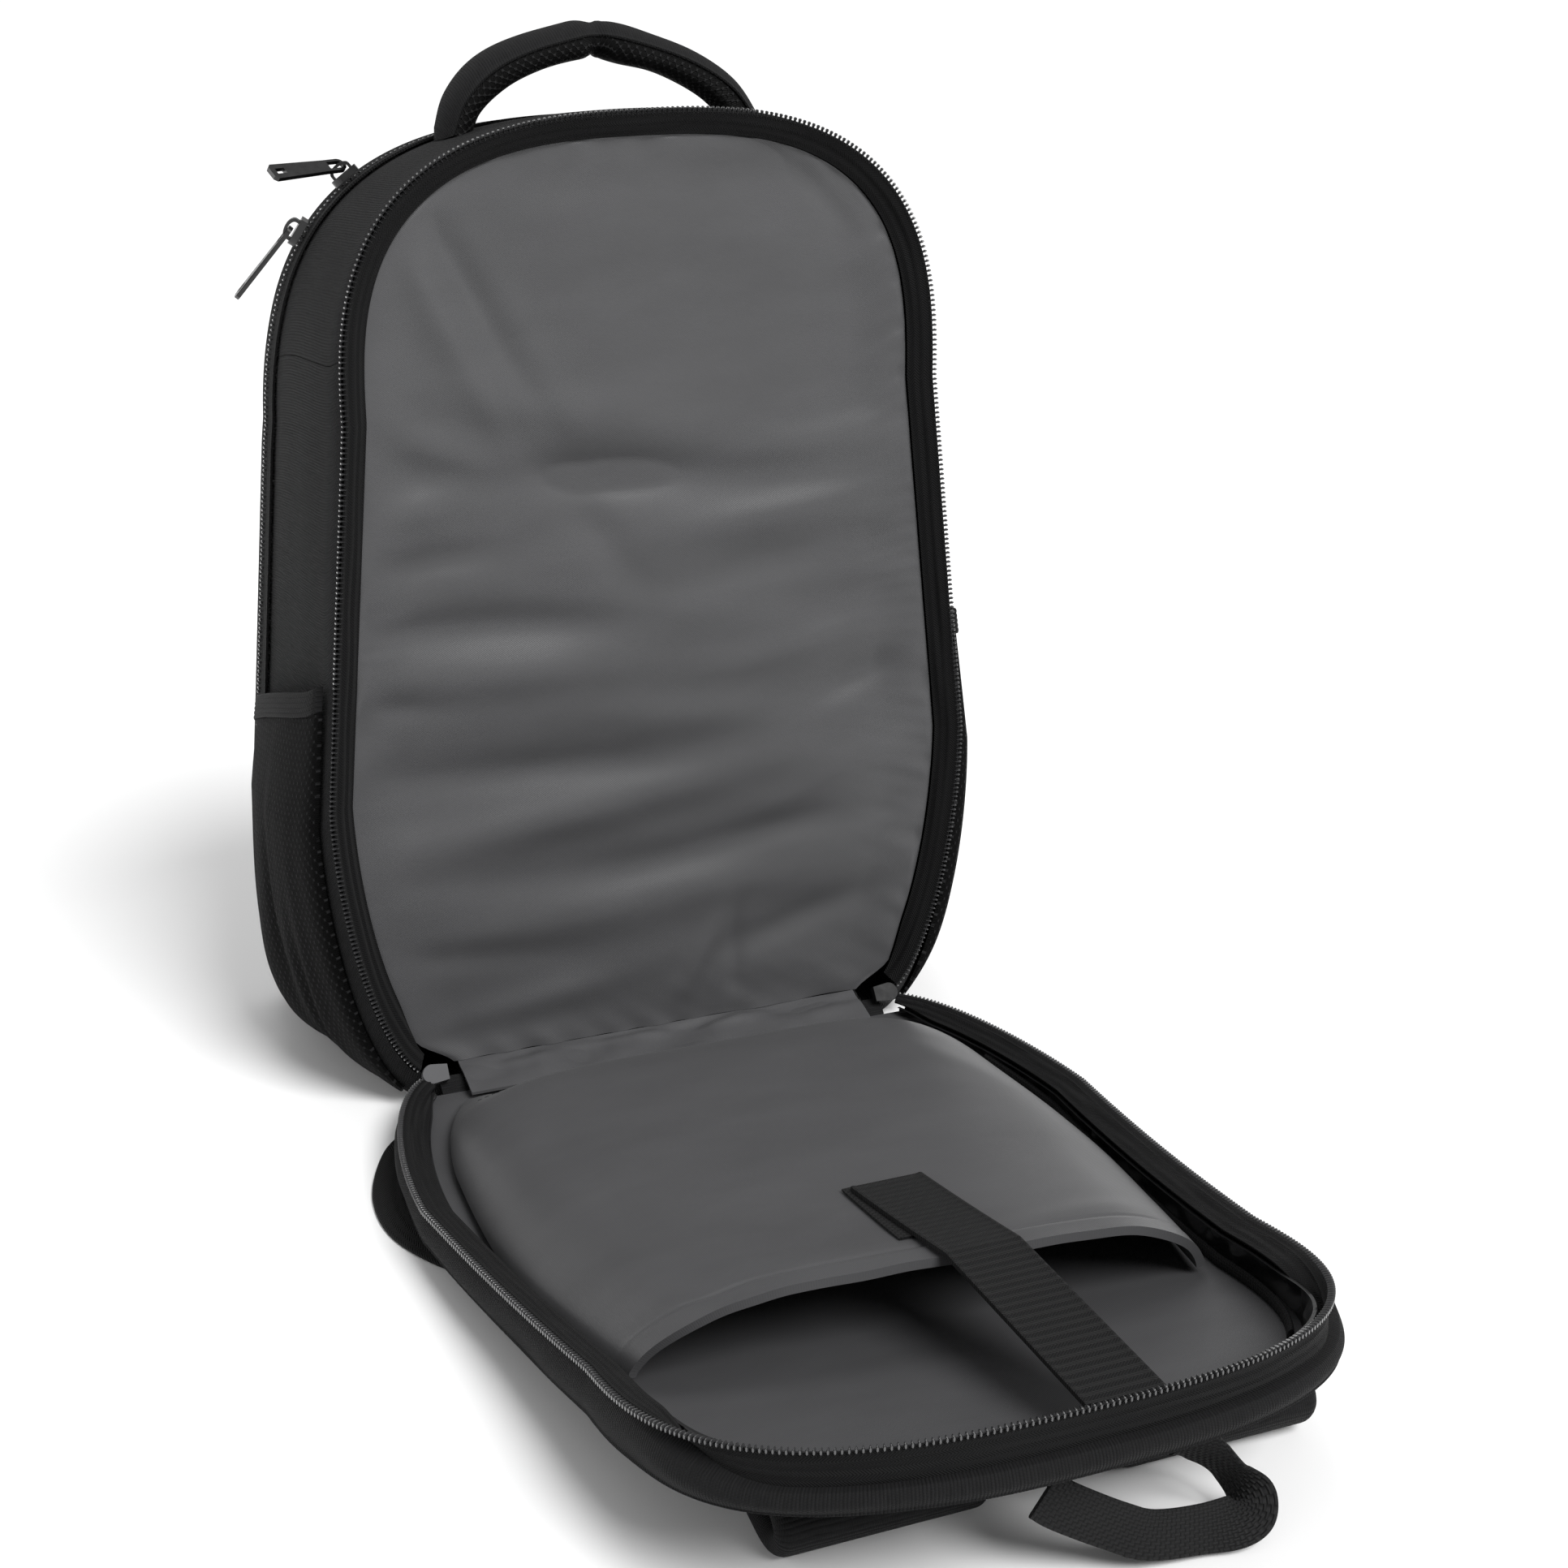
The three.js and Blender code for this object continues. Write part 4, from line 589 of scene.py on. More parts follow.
# Teeth: black plastic whose greys are lifted above the tape's black as painted highlight, so that they read as
# light dots; the coat and specular give their real gloss, and the wear cloud adds random lighter specks
makeLook("teeth", "wear", {}, 0.02, 0.035, 0.2, (0.1, 0.0001), "Mask", coat=0.8, spec=0.8)
makeLook("lacquer", "wear", {}, 0.003, 0.008, 0.26, (0.1, 0.0001), "Mask", coat=0.3, spec=0.4,
         roughSpan=0.12)
makeLook("gunmetal", "wear", {}, 0.05, 0.09, 0.55, (0.15, 0.0001), "Mask", metal=0.5, spec=0.3,
         roughSpan=0.15)
makeLook("cornerPaint", "wear", {}, 0.004, 0.01, 0.5, (0.15, 0.0001), "Mask", spec=0.25, roughSpan=0.15)
makeLook("thread", "basket", dict(Along=0.0006, Across=0.0006), 0.008, 0.02, 0.7, (0.6, 0.0002))
print("stage: materials,", len(looks))

# Body: gusset panels, base, hinge and front

gusset = dict(back=1.1, seam=0.4, low=1.8, split=0.78, side=(150, 60), top=(150, 46), puff=0.7, puffLong=130,
              seamDip=0.45, seamWide=0.03)
sideTop = float(shareAtHeight(gusset["split"] * bag["zipHeight"]))
lowShare, seamShare = gusset["low"] / outLength, bag["gap"] / 2 / outLength


# Outer skin between two shares of the outline, from the zip tape to the front zip. The cloth puffs a
# little between its seams and carries soft folds
def gussetSkin(start, end, steps):
    u, v = grid(*steps)
    share = lerp(start, end, u)
    depth = lerp(gusset["back"], frontZipDepth(outlineAt(share)[1]) - gusset["seam"], v)
    skin = bodySkin(share, depth)
    puff = gusset["puff"] * unevenAt(share * outLength, depth * 1.4, gusset["puffLong"], seed=5)
    puff = puff * np.sin(math.pi * v) ** 0.5
    dip = gusset["seamDip"] * edgeBells(v, 0, gusset["seamWide"])
    skin = skin + bodyOut(share, depth) * (puff - dip)[..., None]
    return skin, np.stack([depth, share * outLength], -1) / 1000


for name, start, end, turn in (("side_panel_right", lowShare, sideTop - seamShare, 1),
                               ("side_panel_left", 1 - lowShare, 1 - sideTop + seamShare, -1),
                               ("top_gusset", sideTop + seamShare, 1 - sideTop - seamShare, 1)):
    skin, uv = gussetSkin(start, end, gusset["top"] if name == "top_gusset" else gusset["side"])
    inner = skin + gridNormals(skin) * turn * bag["cloth"]
    piece = shell(name + "_cloth", skin, inner, uv=uv)
    settle(piece, "sideFabric", [name])

base = dict(steps=(60, 40), wall=3, round=0.4, roundFade=40)


def footHalf(depth):
    grown = readColumn(bodySections["depth"], bodySections["foot"], depth / bag["depth"])
    return bag["hinge"] / 2 * (1 + grown)


# Flat padded base whose foot widens towards the front; its upper side falls off softly at its rim
def baseSkin(level):
    u, v = grid(*base["steps"])
    depth = lerp(0.1 * bag["depth"], bag["frontSide"] - bag["gap"] / 2, v)
    rim = np.minimum.reduce([u, 1 - u, v, 1 - v])
    soft = base["round"] * np.exp(-rim * base["roundFade"]) * (level > -bag["rise"])
    return point(lerp(-1, 1, u) * (footHalf(depth) - bag["gap"] / 2), depth, level - soft)


piece = shell("base_cloth", baseSkin(-bag["rise"]), baseSkin(-bag["rise"] + base["wall"]))
settle(piece, "sideFabric", ["base_panel"])

hinge = dict(back=[0.92, 0.6, 0.3, 0.12, -0.1, -0.42], rise=[-1.0, -0.86, -0.52, -0.24, -0.24, -0.42],
             wy=[0.8, 0.8, 0.8, 0.8, 0.2, 0.2], wz=0.6, wall=1.8, steps=(90, 30), ripple=0.35)


# Outer fabric under the hinge seam: rows of a table joined smoothly, rippled along the seam
def hingeSkin(lift):
    u, v = grid(*hinge["steps"])
    rows = np.arange(6) / 5
    half = bag["hinge"] / 2 - bag["gap"]
    x = lerp(-half, half, u)
    reach = 0.1 * bag["depth"] - bag["gap"]
    y = readColumn(rows, hinge["back"], v) * reach + lift * readColumn(rows, hinge["wy"], v)
    ripple = hinge["ripple"] * unevenAt(x, y * 3, 40, seed=2) * np.sin(math.pi * v)
    z = readColumn(rows, hinge["rise"], v) * bag["rise"] + lift * hinge["wz"] + np.maximum(ripple, 0)
    return point(x, y, z)


skin = hingeSkin(0)
piece = shell("hinge_cloth", skin, hingeSkin(hinge["wall"]))
settle(piece, "sideFabric", ["hinge_fold"])

front = dict(arch=0.84, middle=0.42 * bag["zipHeight"], round=5, lean=0.2, steps=(220, 56), seam=0.4, cloth=2,
             puff=1.0, puffLong=170)


def frontDepth(height):
    up = smooth((height - 0.45 * bag["zipHeight"]) / (0.6 * bag["zipHeight"]))
    return bag["depth"] * (1 - front["lean"] * up)


# Front panel: from its rim over a rounded edge to the middle of the face, superellipse section
def frontSkin(inset):
    u, v = ringGrid(front["steps"])
    share = np.clip(u / front["arch"], 0, 1)
    rim = bodySkin(share, frontZipDepth(outlineAt(share)[1]) + front["seam"])
    k = np.clip((u - front["arch"]) / (1 - front["arch"]), 0, 1)
    start = bag["frontSide"] + front["seam"]
    half = footHalf(np.full_like(u, start))
    foot = point(lerp(-half, half, k), start, -bag["rise"])
    rim = np.where((u > front["arch"])[..., None], foot, rim)
    a = v * math.pi / 2
    out = np.maximum(np.cos(a), 0) ** (2 / front["round"])
    forward = np.sin(a) ** (2 / front["round"])
    keep = out * (1 - inset / np.hypot(rim[..., 0], rim[..., 2] - front["middle"]))
    keep = np.where(v >= 1, 0, keep)
    z = front["middle"] + (rim[..., 2] - front["middle"]) * keep
    x = rim[..., 0] * keep
    puff = front["puff"] * (unevenAt(x, z, front["puffLong"], seed=21) - 1) * forward ** 4
    return point(x, lerp(rim[..., 1], frontDepth(z) - inset + puff, forward), z)


skin = frontSkin(0)
flatUv = np.stack([skin[..., 2] / 1000, skin[..., 0] / 1000], -1)
piece = shell("front_cloth", skin, frontSkin(front["cloth"]), closed=True, uv=flatUv)
settle(piece, "sideFabric", ["front_panel"])
print("stage: body cloth")

# Closed zip between the gusset and the front

frontZip = dict(start=16, half=12, lift=1.1, wall=1, coilWall=1.2, pitch=2.1, steps=(420, 10), welt=0.35,
                weltAt=7, weltWide=0.8, tooth=(0.9, 0.55), toothWide=1.3, toothOut=0.5)


# Tape over the seam: behind it the body's skin, in front of it the front panel's rounded edge
def frontZipSkin(share, offset, lift):
    seam = frontZipDepth(outlineAt(share)[1])
    skin = bodySkin(share, seam + np.minimum(offset, 0))
    ahead = np.maximum(offset, 0)
    keep = (1 - (ahead / (bag["depth"] - seam)) ** front["round"]) ** (1 / front["round"])
    over = point(skin[..., 0] * keep, seam + ahead, front["middle"] + (skin[..., 2] - front["middle"]) * keep)
    skin = np.where((offset > 0)[..., None], over, skin)
    return skin + bodyOut(share, seam) * np.asarray(lift)[..., None]


start = frontZip["start"] / outLength
share, v = grid(*frontZip["steps"], start, 1 - start)
offset = lerp(-frontZip["half"], frontZip["half"], v)
welt = frontZip["welt"] * bell(np.abs(offset) - frontZip["weltAt"], frontZip["weltWide"])
top = frontZipSkin(share, offset, frontZip["lift"] + frontZip["wall"] + welt)
piece = shell("front_zip_cloth", top, frontZipSkin(share, offset, np.full_like(share, frontZip["lift"])),
              uv=np.stack([share * outLength / 1000, offset / 1000], -1))
settle(piece, "zipTape", ["front_zip_tape"])

# One tooth from its root to its head: places out of the tape, half sizes along the zip and up
tooth = dict(out=[-1.5, -1.0, 0.1, 0.85, 1.35], along=[0.26, 0.36, 0.36, 0.56, 0.34],
             up=[0.8, 1.05, 1.15, 1.2, 0.85], grow=1.15)


# Six-sided rings of the table joined into one closed shape; flipped for the teeth that point back
def toothShape(length=1.0, height=1.0, flip=1):
    a = np.arange(6) / 6 * 2 * math.pi + math.pi / 6
    rows = []
    for out, wide, up in zip(tooth["out"], tooth["along"], tooth["up"]):
        x, z = np.cos(a) * wide * tooth["grow"], np.sin(a) * up * height * tooth["grow"]
        rows.append(np.stack([x, np.full(6, out * length * flip), z], -1))
    corners = np.concatenate(rows)
    faces = []
    for row in range(len(rows) - 1):
        for i in range(6):
            j = (i + 1) % 6
            quad = [row * 6 + i, row * 6 + j, row * 6 + 6 + j, row * 6 + 6 + i]
            faces.append(quad[::-1] if flip > 0 else quad)
    ends = [list(range(6)), list(range(24, 30))[::-1]]
    faces += ends if flip > 0 else [end[::-1] for end in ends]
    return corners, faces


count = int((1 - 2 * start) * outLength / frontZip["pitch"])
share = np.linspace(start, 1 - start, count)[None, :]
lift = frontZip["lift"] + frontZip["wall"] + bag["gap"] + frontZip["coilWall"] / 2
flat = np.zeros_like(share)
middle = frontZipSkin(share, flat, flat + lift)[0]
ahead = unit(frontZipSkin(share, flat + 1, flat + lift)[0] - frontZipSkin(share, flat - 1, flat + lift)[0])
along = unit(np.gradient(middle, axis=0))
up = unit(np.cross(along, ahead))
for turn, word in ((1, "fore"), (-1, "back")):
    pick = slice(0 if turn > 0 else 1, None, 2)
    shape, faces = toothShape(*frontZip["tooth"], turn)
    shape = shape * np.array([frontZip["toothWide"], 1, 1]) + np.array([0, frontZip["toothOut"] * turn, 0])
    piece = scatter("front_teeth_" + word, shape, faces, middle[pick], along[pick], ahead[pick], up[pick])
    settle(piece, "teeth", ["front_zip_coil"])

# Open zip round the body's back

zipEnd = dict(clear=10.2, tapeWidth=11, narrow=0.4, narrowLong=45, lap=2.8, tapeWall=1, coil=2.8, front=-0.6,
              sink=5.6, pitch=2.2, steps=(460, 14), grip=1.3, wave=0.35, waveLong=34)
zipEnd["edge"] = (zipEnd["coil"] + zipEnd["tapeWall"]) / 2 + bag["gap"]
zipClear = zipEnd["clear"] / outLength


# Width of a tape: narrow at the hinge corners, full along the sides and the top
def tapeAt(share):
    grown = smooth(fromEnds(share) / zipEnd["narrowLong"])
    return lerp(zipEnd["narrow"] * zipEnd["tapeWidth"], zipEnd["tapeWidth"], grown)


# The body's tape shows less of its width, because the lining is sewn over its inner edge
def bodyTapeAt(share):
    return tapeAt(share) * (1 - zipEnd["lap"] / zipEnd["tapeWidth"])


# Places over a tape, from under the teeth that hold its edge to its sewn edge
def tapeGrid(widthAt):
    share, v = grid(*zipEnd["steps"], zipClear, 1 - zipClear)
    wide = widthAt(share)
    return share, wide, lerp(-zipEnd["grip"] / wide, 1, v)


# Slow waves of a tape between its edges, and its sewn welts: rows of place, height and width
def tapeRelief(share, across, v, seed, rows):
    wave = zipEnd["wave"] * unevenAt(share * outLength, across * 5, zipEnd["waveLong"], seed=seed)
    welt = sum(high * bell(across - at, wide) for at, high, wide in rows)
    return wave * np.sin(math.pi * np.maximum(v, 0)), welt


def bodyRing(share, grow, depth):
    x, z, nx, nz = outlineAt(share)
    return point(x + nx * grow, depth, z + nz * grow)


# Tape from the teeth in to the lining
share, wide, v = tapeGrid(bodyTapeAt)
slant = np.hypot(wide, zipEnd["sink"])
across = wide * v


def bodyTape(lift):
    grow = zipEnd["sink"] / slant * lift - across - zipEnd["edge"]
    return bodyRing(share, grow, zipEnd["front"] + zipEnd["sink"] * v + wide / slant * lift)


wave, welt = tapeRelief(share, across, v, 4, [(2.4, 0.5, 0.5), (5.6, 0.25, 0.4)])
top = bodyTape(-welt + wave)
tapeUv = np.stack([share * outLength / 1000, across / 1000], -1)
piece = shell("body_tape_cloth", top, bodyTape(np.full_like(share, zipEnd["tapeWall"])), uv=tapeUv)
settle(piece, "zipTape", ["body_zip_tape"])


def teethAlong(name, node, place):
    run = outLength * (1 - 2 * zipClear)
    share = np.linspace(zipClear, 1 - zipClear, int(run / zipEnd["pitch"]))
    middle = place(share, 0, 0)
    out = unit(place(share, 1, 0) - place(share, -1, 0))
    up = unit(place(share, 0, 1) - place(share, 0, -1))
    along = unit(np.gradient(middle, axis=0))
    leanOut, leanUp = (along * out).sum(-1, keepdims=True), (along * up).sum(-1, keepdims=True)
    along = unit(along - out * leanOut - up * leanUp)
    shape, faces = toothShape()
    if np.linalg.det(np.stack([along[5], out[5], up[5]])) < 0:
        faces = [face[::-1] for face in faces]
    piece = scatter(name, shape, faces, middle, along, out, up)
    settle(piece, "teeth", [node])


def bodyTeethAt(share, out, up):
    return bodyRing(share, out, zipEnd["front"] + up)


teethAlong("body_teeth", "body_zip_coil", bodyTeethAt)
print("stage: zips")

# Divider lining across the opening

divider = dict(foot=2, depth=6.4, steps=(190, 240), wall=1.3, base=2.2, least=3.6, most=12.6, relief=2.2,
               corner=12, edge=26, slow=0.5, fine=0.16, pucker=0.75, puckerReach=12, puckerMiddle=200)
# place across, place up, half length, half width, turn, height towards the viewer
dividerFolds = [(-92, 345, 52, 8, -64, 1.8), (-74, 352, 44, 7, -62, -2.0), (-58, 330, 40, 12, -58, 0.9),
                (-100, 290, 42, 9, -24, 1.3), (-30, 296, 60, 13, -14, 1.0), (-12, 268, 62, 10, -3, -1.9),
                (70, 276, 48, 12, 7, 1.2), (112, 292, 36, 8, 12, -0.8), (-112, 262, 36, 9, 8, 1.2),
                (-104, 238, 40, 8, 4, -1.3), (64, 244, 62, 10, 5, 1.7), (60, 222, 50, 9, 8, -1.0),
                (-20, 240, 26, 9, -55, -0.8), (-60, 206, 74, 9, -4, -1.5), (20, 200, 52, 11, -6, 1.0),
                (-60, 184, 80, 11, -5, 1.6), (84, 184, 42, 9, 10, 1.5), (100, 162, 30, 9, 16, -1.9),
                (-4, 158, 60, 11, -8, 1.3), (-64, 138, 60, 9, -3, -1.4), (28, 124, 70, 10, 5, 1.2),
                (-50, 112, 66, 10, 3, 1.5), (92, 118, 36, 9, 22, 1.2), (60, 92, 52, 9, 6, -1.5),
                (-30, 84, 72, 10, -3, -1.0), (-10, 64, 80, 11, 4, 1.2), (-84, 52, 44, 8, -6, -1.0),
                (72, 44, 44, 8, 14, -1.1), (20, 32, 22, 6, 62, 1.0), (38, 30, 22, 5, 84, -0.8),
                (-60, 24, 44, 8, 8, 0.9), (104, 366, 34, 7, -52, 0.9), (92, 376, 30, 6, -48, -0.9),
                (0, 372, 60, 12, 0, 0.5), (118, 214, 26, 6, 10, 1.0), (124, 248, 22, 5, 6, -0.7),
                (-126, 176, 24, 6, -8, -0.9), (-128, 214, 22, 5, 4, 0.7), (122, 96, 24, 6, 18, -0.8)]


def dividerInset(share):
    return zipEnd["edge"] + bodyTapeAt(share) + bag["gap"]


# Sheet in rows from the foot up; the folds stay behind its seam, where small puckers radiate
def dividerSkin():
    u, v = grid(*divider["steps"])
    top = insetOutline(np.array(0.5), zipEnd["edge"] + zipEnd["tapeWidth"] - zipEnd["lap"] + bag["gap"])[1]
    height = lerp(divider["foot"], top, 1 - (1 - v) ** 1.5)
    corner = shareAtHeight(divider["corner"])
    cornerHalf, cornerHigh = insetOutline(corner, dividerInset(corner))
    low = lerp(bag["hinge"] / 2 - zipEnd["clear"], cornerHalf, smooth(height / cornerHigh))
    half = np.where(height < cornerHigh, low, halfInside(height, dividerInset, divider["corner"]))
    half = np.where(v >= 1, 0.0, half)
    x = lerp(half, -half, u)
    rim = np.minimum(half - np.abs(x), np.minimum((top - height) * 1.2, height * 1.4))
    inside = smooth(rim / divider["edge"])
    fold = foldsAt(x, height, dividerFolds) * inside
    slow = divider["slow"] * unevenAt(x * 0.5, height, 95, seed=7) * inside
    fine = divider["fine"] * unevenAt(x * 0.4, height * 1.6, 30, seed=13) * inside
    turn = np.arctan2(height - divider["puckerMiddle"], x) * 150 + height * 0.6
    pucker = divider["pucker"] * np.exp(-np.maximum(rim, 0) / divider["puckerReach"])
    pucker = pucker * unevenAt(turn, rim * 0.3, 15, seed=17) * smooth(rim / 3)
    depth = divider["depth"] + divider["base"] * inside - divider["relief"] * (fold + slow) - fine - pucker
    depth = np.clip(depth, divider["least"], divider["most"])
    return point(x, depth, height)


skin = dividerSkin()
piece = shell("divider_cloth", skin, skin + np.array([0, divider["wall"], 0]),
              uv=np.stack([skin[..., 0], skin[..., 2]], -1) / 1000)
settle(piece, "lining", ["divider_panel"])
print("stage: divider")

# Mesh side pockets with a stitched elastic hem

pocket = dict(back=9, swell=13, high=197, fall=25, foot=7, seat=1.1, full=0.4, hemTall=11, hemWall=3, mesh=1.6,
              down=[0, 0.2, 0.45, 0.7, 0.86, 1], share=[0.3, 0.62, 0.9, 1, 0.85, 0], steps=(90, 150),
              hemSteps=(90, 36), hemRidge=0.35, hemSunk=0.3, gather=1.3)


# Skin off the side panel: a bulge over the depth times the table's swell, with gathers that grow downwards
def pocketSkin(side, lift, top, bottom, gather=0.0, steps=None):
    u, v = grid(*(steps or pocket["steps"]))
    hem = pocket["high"] - pocket["fall"] * u
    z = lerp(hem + top, pocket["foot"] if bottom is None else hem - pocket["hemTall"], v)
    share = shareAtHeight(z)
    share = share if side > 0 else 1 - share
    depth = lerp(pocket["back"], frontZipDepth(z) - frontZip["half"] - 2 * bag["gap"], u)
    down = (pocket["high"] - z) / (pocket["high"] - pocket["foot"])
    bulge = np.maximum(np.sin(math.pi * u), 0) ** pocket["full"]
    swell = pocket["swell"] * readColumn(pocket["down"], pocket["share"], down) * bulge
    wrinkle = gather * (unevenAt(depth * 1.6, z * 0.12, 22, seed=31) - 0.9) * smooth(down) * bulge
    wrinkle = wrinkle + gather * foldsAt(u * 100, z, [(46, 70, 60, 7, 84, -1.8), (66, 60, 60, 8, 80, 1.3),
                                                      (26, 56, 40, 6, 98, -1.2)]) * bulge
    away = pocket["seat"] + lift + swell + wrinkle
    return bodySkin(share, depth) + bodyOut(share, depth) * away[..., None]


for side, word in ((1, "right"), (-1, "left")):
    start = -pocket["hemTall"] - bag["gap"]
    skin = pocketSkin(side, pocket["mesh"], start, None, pocket["gather"])
    piece = shell("pocket_cloth_" + word, skin, pocketSkin(side, 0, start, None, pocket["gather"]))
    settle(piece, "pocketMesh", ["mesh_pocket_" + word])
    steps = pocket["hemSteps"]
    ridge = pocket["hemRidge"] * np.abs(np.sin(np.linspace(0, 5 * math.pi, steps[1] + 1)))[None, :]
    skin = pocketSkin(side, pocket["hemWall"], 0, "hem", 0, steps)
    inner = pocketSkin(side, 0, 0, "hem", 0, steps)
    skin = skin + unit(skin - inner) * (ridge - pocket["hemSunk"])[..., None]
    piece = shell("hem_cloth_" + word, skin, inner)
    settle(piece, "elastic", ["pocket_hem_" + word])
print("stage: pockets")

# Padded handle: air mesh round a foam core, with a fabric band over its top and piped edges

handle = dict(half=66, high=24, thick=15.5, wide=30, depth=60, seat=0.7, steps=(150, 48),
              along=[0, 0.1, 0.22, 0.35, 0.47, 0.52, 0.62, 0.72, 0.82, 0.91, 1],
              across=[-1, -0.92, -0.73, -0.47, -0.17, -0.045, 0.2, 0.44, 0.67, 0.85, 1],
              up=[0, 0.33, 0.63, 0.84, 0.98, 1, 0.88, 0.72, 0.51, 0.29, 0],
              size=[0.85, 0.95, 1, 1, 1, 0.88, 1, 1, 1, 0.95, 0.85], pinchAt=0.52, pinch=0.16, fold=0.9)


# Height of the body's top over a place, read from the outline above its lower corner
def gussetTop(x, depth):
    upper = outShare[:halfWay] > 0.1
    share = np.interp(-np.abs(x), -outX[:halfWay][upper], outShare[:halfWay][upper])
    return bodySkin(share, depth)[..., 2]


def handlePoint(u):
    x = readColumn(handle["along"], handle["across"], u) * handle["half"]
    up = readColumn(handle["along"], handle["up"], u)
    low = gussetTop(x, handle["depth"])
    return point(x, handle["depth"], lerp(low, bag["zipHeight"] + handle["high"], up))


# Rings round the handle's middle line; a sharp fold crosses it at the pinch and the feet are cut to the top
def handleRings(turns, grow=0.0):
    u = np.linspace(0, 1, handle["steps"][0])
    tangent = unit(handlePoint(np.clip(u + 0.02, 0, 1)) - handlePoint(np.clip(u - 0.02, 0, 1)))
    out = point(-tangent[:, 2], 0, tangent[:, 0])
    size = readColumn(handle["along"], handle["size"], u)
    pinch = bell(u - handle["pinchAt"], 0.022)
    fold = bell(u - handle["pinchAt"] - 0.012, 0.008)
    puff = 0.5 * unevenAt(u * 120, u * 0, 26, seed=41)
    size = size * (1 - handle["pinch"] * pinch)
    a = np.asarray(turns)
    lobe = 1 + 0.03 * np.sin(2 * a)[None, :]
    high = (handle["thick"] / 2 + puff + handle["fold"] * fold) * size + grow
    wide = handle["wide"] / 2 * size + grow - 0.4
    ring = handlePoint(u)[:, None] + out[:, None] * (np.sin(a)[None, :] * high[:, None] * lobe)[..., None]
    ring[..., 1] += np.cos(a)[None, :] * wide[:, None] * lobe
    for end in (0, -1):
        ring[end, :, 2] = gussetTop(ring[end, :, 0], ring[end, :, 1]) + handle["seat"]
    return ring


a = np.arange(handle["steps"][1]) / handle["steps"][1] * 2 * math.pi
piece = sweep("handle_mesh", handleRings(a))
settle(piece, "handleMesh", ["top_handle"])
# The band lies over the top third of each ring, its edges turned down over a cord
band = dict(start=0.16, end=0.9, steps=30, outer=0.75, inner=0.1, cord=0.9, cordAt=0.04, cordWide=0.035)
a = np.linspace(band["start"] * math.pi, band["end"] * math.pi, band["steps"])
outer = handleRings(a, band["outer"])
edge = band["cord"] * edgeBells(np.linspace(0, 1, band["steps"]), band["cordAt"], band["cordWide"])
centre = handlePoint(np.linspace(0, 1, handle["steps"][0]))[:, None]
outer = outer + unit(outer - centre) * edge[None, :, None]
inner = handleRings(a, band["inner"])
piece = shell("handle_band", outer, inner)
settle(piece, "wallFabric", ["top_handle"])
print("stage: handle")

# Opened panel: outer wall, zip and padded back

wall = dict(bulge=2.5, top=2.6, standOut=4.1, end=13, steps=(420, 64), soft=0.55, piping=0.9, pipingAt=0.93,
            pipingWide=0.04, lip=0.06)


# How far a panel's tape goes in and down from its teeth: nearly level at the sides, upright at the top
def tapeFall(wide, stand):
    return wide * lerp(0.86, -0.13, stand), wide * lerp(0.3, 0.96, stand)


# The tray's side below its tape, bulged by a half wave, with a corded seam along its foot. Its upper edge
# turns in to the tape that it is sewn to
def wallSkin(lift, detail):
    u, v = grid(*wall["steps"], wall["end"] / outLength, 1 - wall["end"] / outLength)
    v = v ** 1.4
    stand, wide = upright(u), tapeAt(u)
    turn = stand * math.pi / 2
    top = lerp(wall["top"], zipEnd["tapeWidth"] + zipEnd["edge"], stand)
    along = outlineAt(u)[1]
    down = lerp(top, wallAt(along), v)
    soft = wall["soft"] * unevenAt(u * outLength, down * 3, 60, seed=51) * np.sin(math.pi * v)
    cord = wall["piping"] * bell(v - wall["pipingAt"], wall["pipingWide"])
    bulge = wall["bulge"] * np.sin(math.pi * v) + stand * wall["standOut"] + detail * (soft + cord)
    inward, fall = tapeFall(wide, stand)
    inTo = -inward * stand - zipEnd["edge"] * np.cos(turn)
    downTo = fall * stand + zipEnd["edge"] * np.sin(turn)
    k = 1 - smooth(v / wall["lip"])
    skin = trayRing(u, lerp(bulge, inTo, k) - lift * (1 - k), -lerp(down, downTo, k) - lift * k)
    return skin, np.stack([u * outLength, down], -1) / 1000


skin, uv = wallSkin(0, 1)
piece = shell("wall_cloth", skin, wallSkin(bag["cloth"], 0)[0], uv=uv)
settle(piece, "wallFabric", ["panel_wall_right", "panel_wall_front", "panel_wall_left"])

share, wide, v = tapeGrid(tapeAt)
stand = upright(share)
inward, fall = tapeFall(wide, stand)
slant, turn = np.hypot(inward, fall), stand * math.pi / 2


def panelTape(lift):
    grow = -inward * v - fall / slant * lift - zipEnd["edge"] * np.cos(turn)
    return trayRing(share, grow, -fall * v + inward / slant * lift - zipEnd["edge"] * np.sin(turn))


across = wide * v
wave, welt = tapeRelief(share, across, v, 6, [(2.4, 0.45, 0.5), (8.8, 0.25, 0.4)])
low = panelTape(-welt + wave)
piece = shell("panel_tape_cloth", low, panelTape(zipEnd["tapeWall"] + welt + wave),
              uv=np.stack([share * outLength / 1000, across / 1000], -1))
settle(piece, "zipTape", ["panel_zip_tape"])
teethAlong("panel_teeth", "panel_zip_coil", trayRing)

pad = dict(round=3, inset=9, start=8, middle=0.5, arch=0.84, steps=(220, 60), channel=1.2, channelWide=3,
           channelOut=42, channelUp=(150, 280))


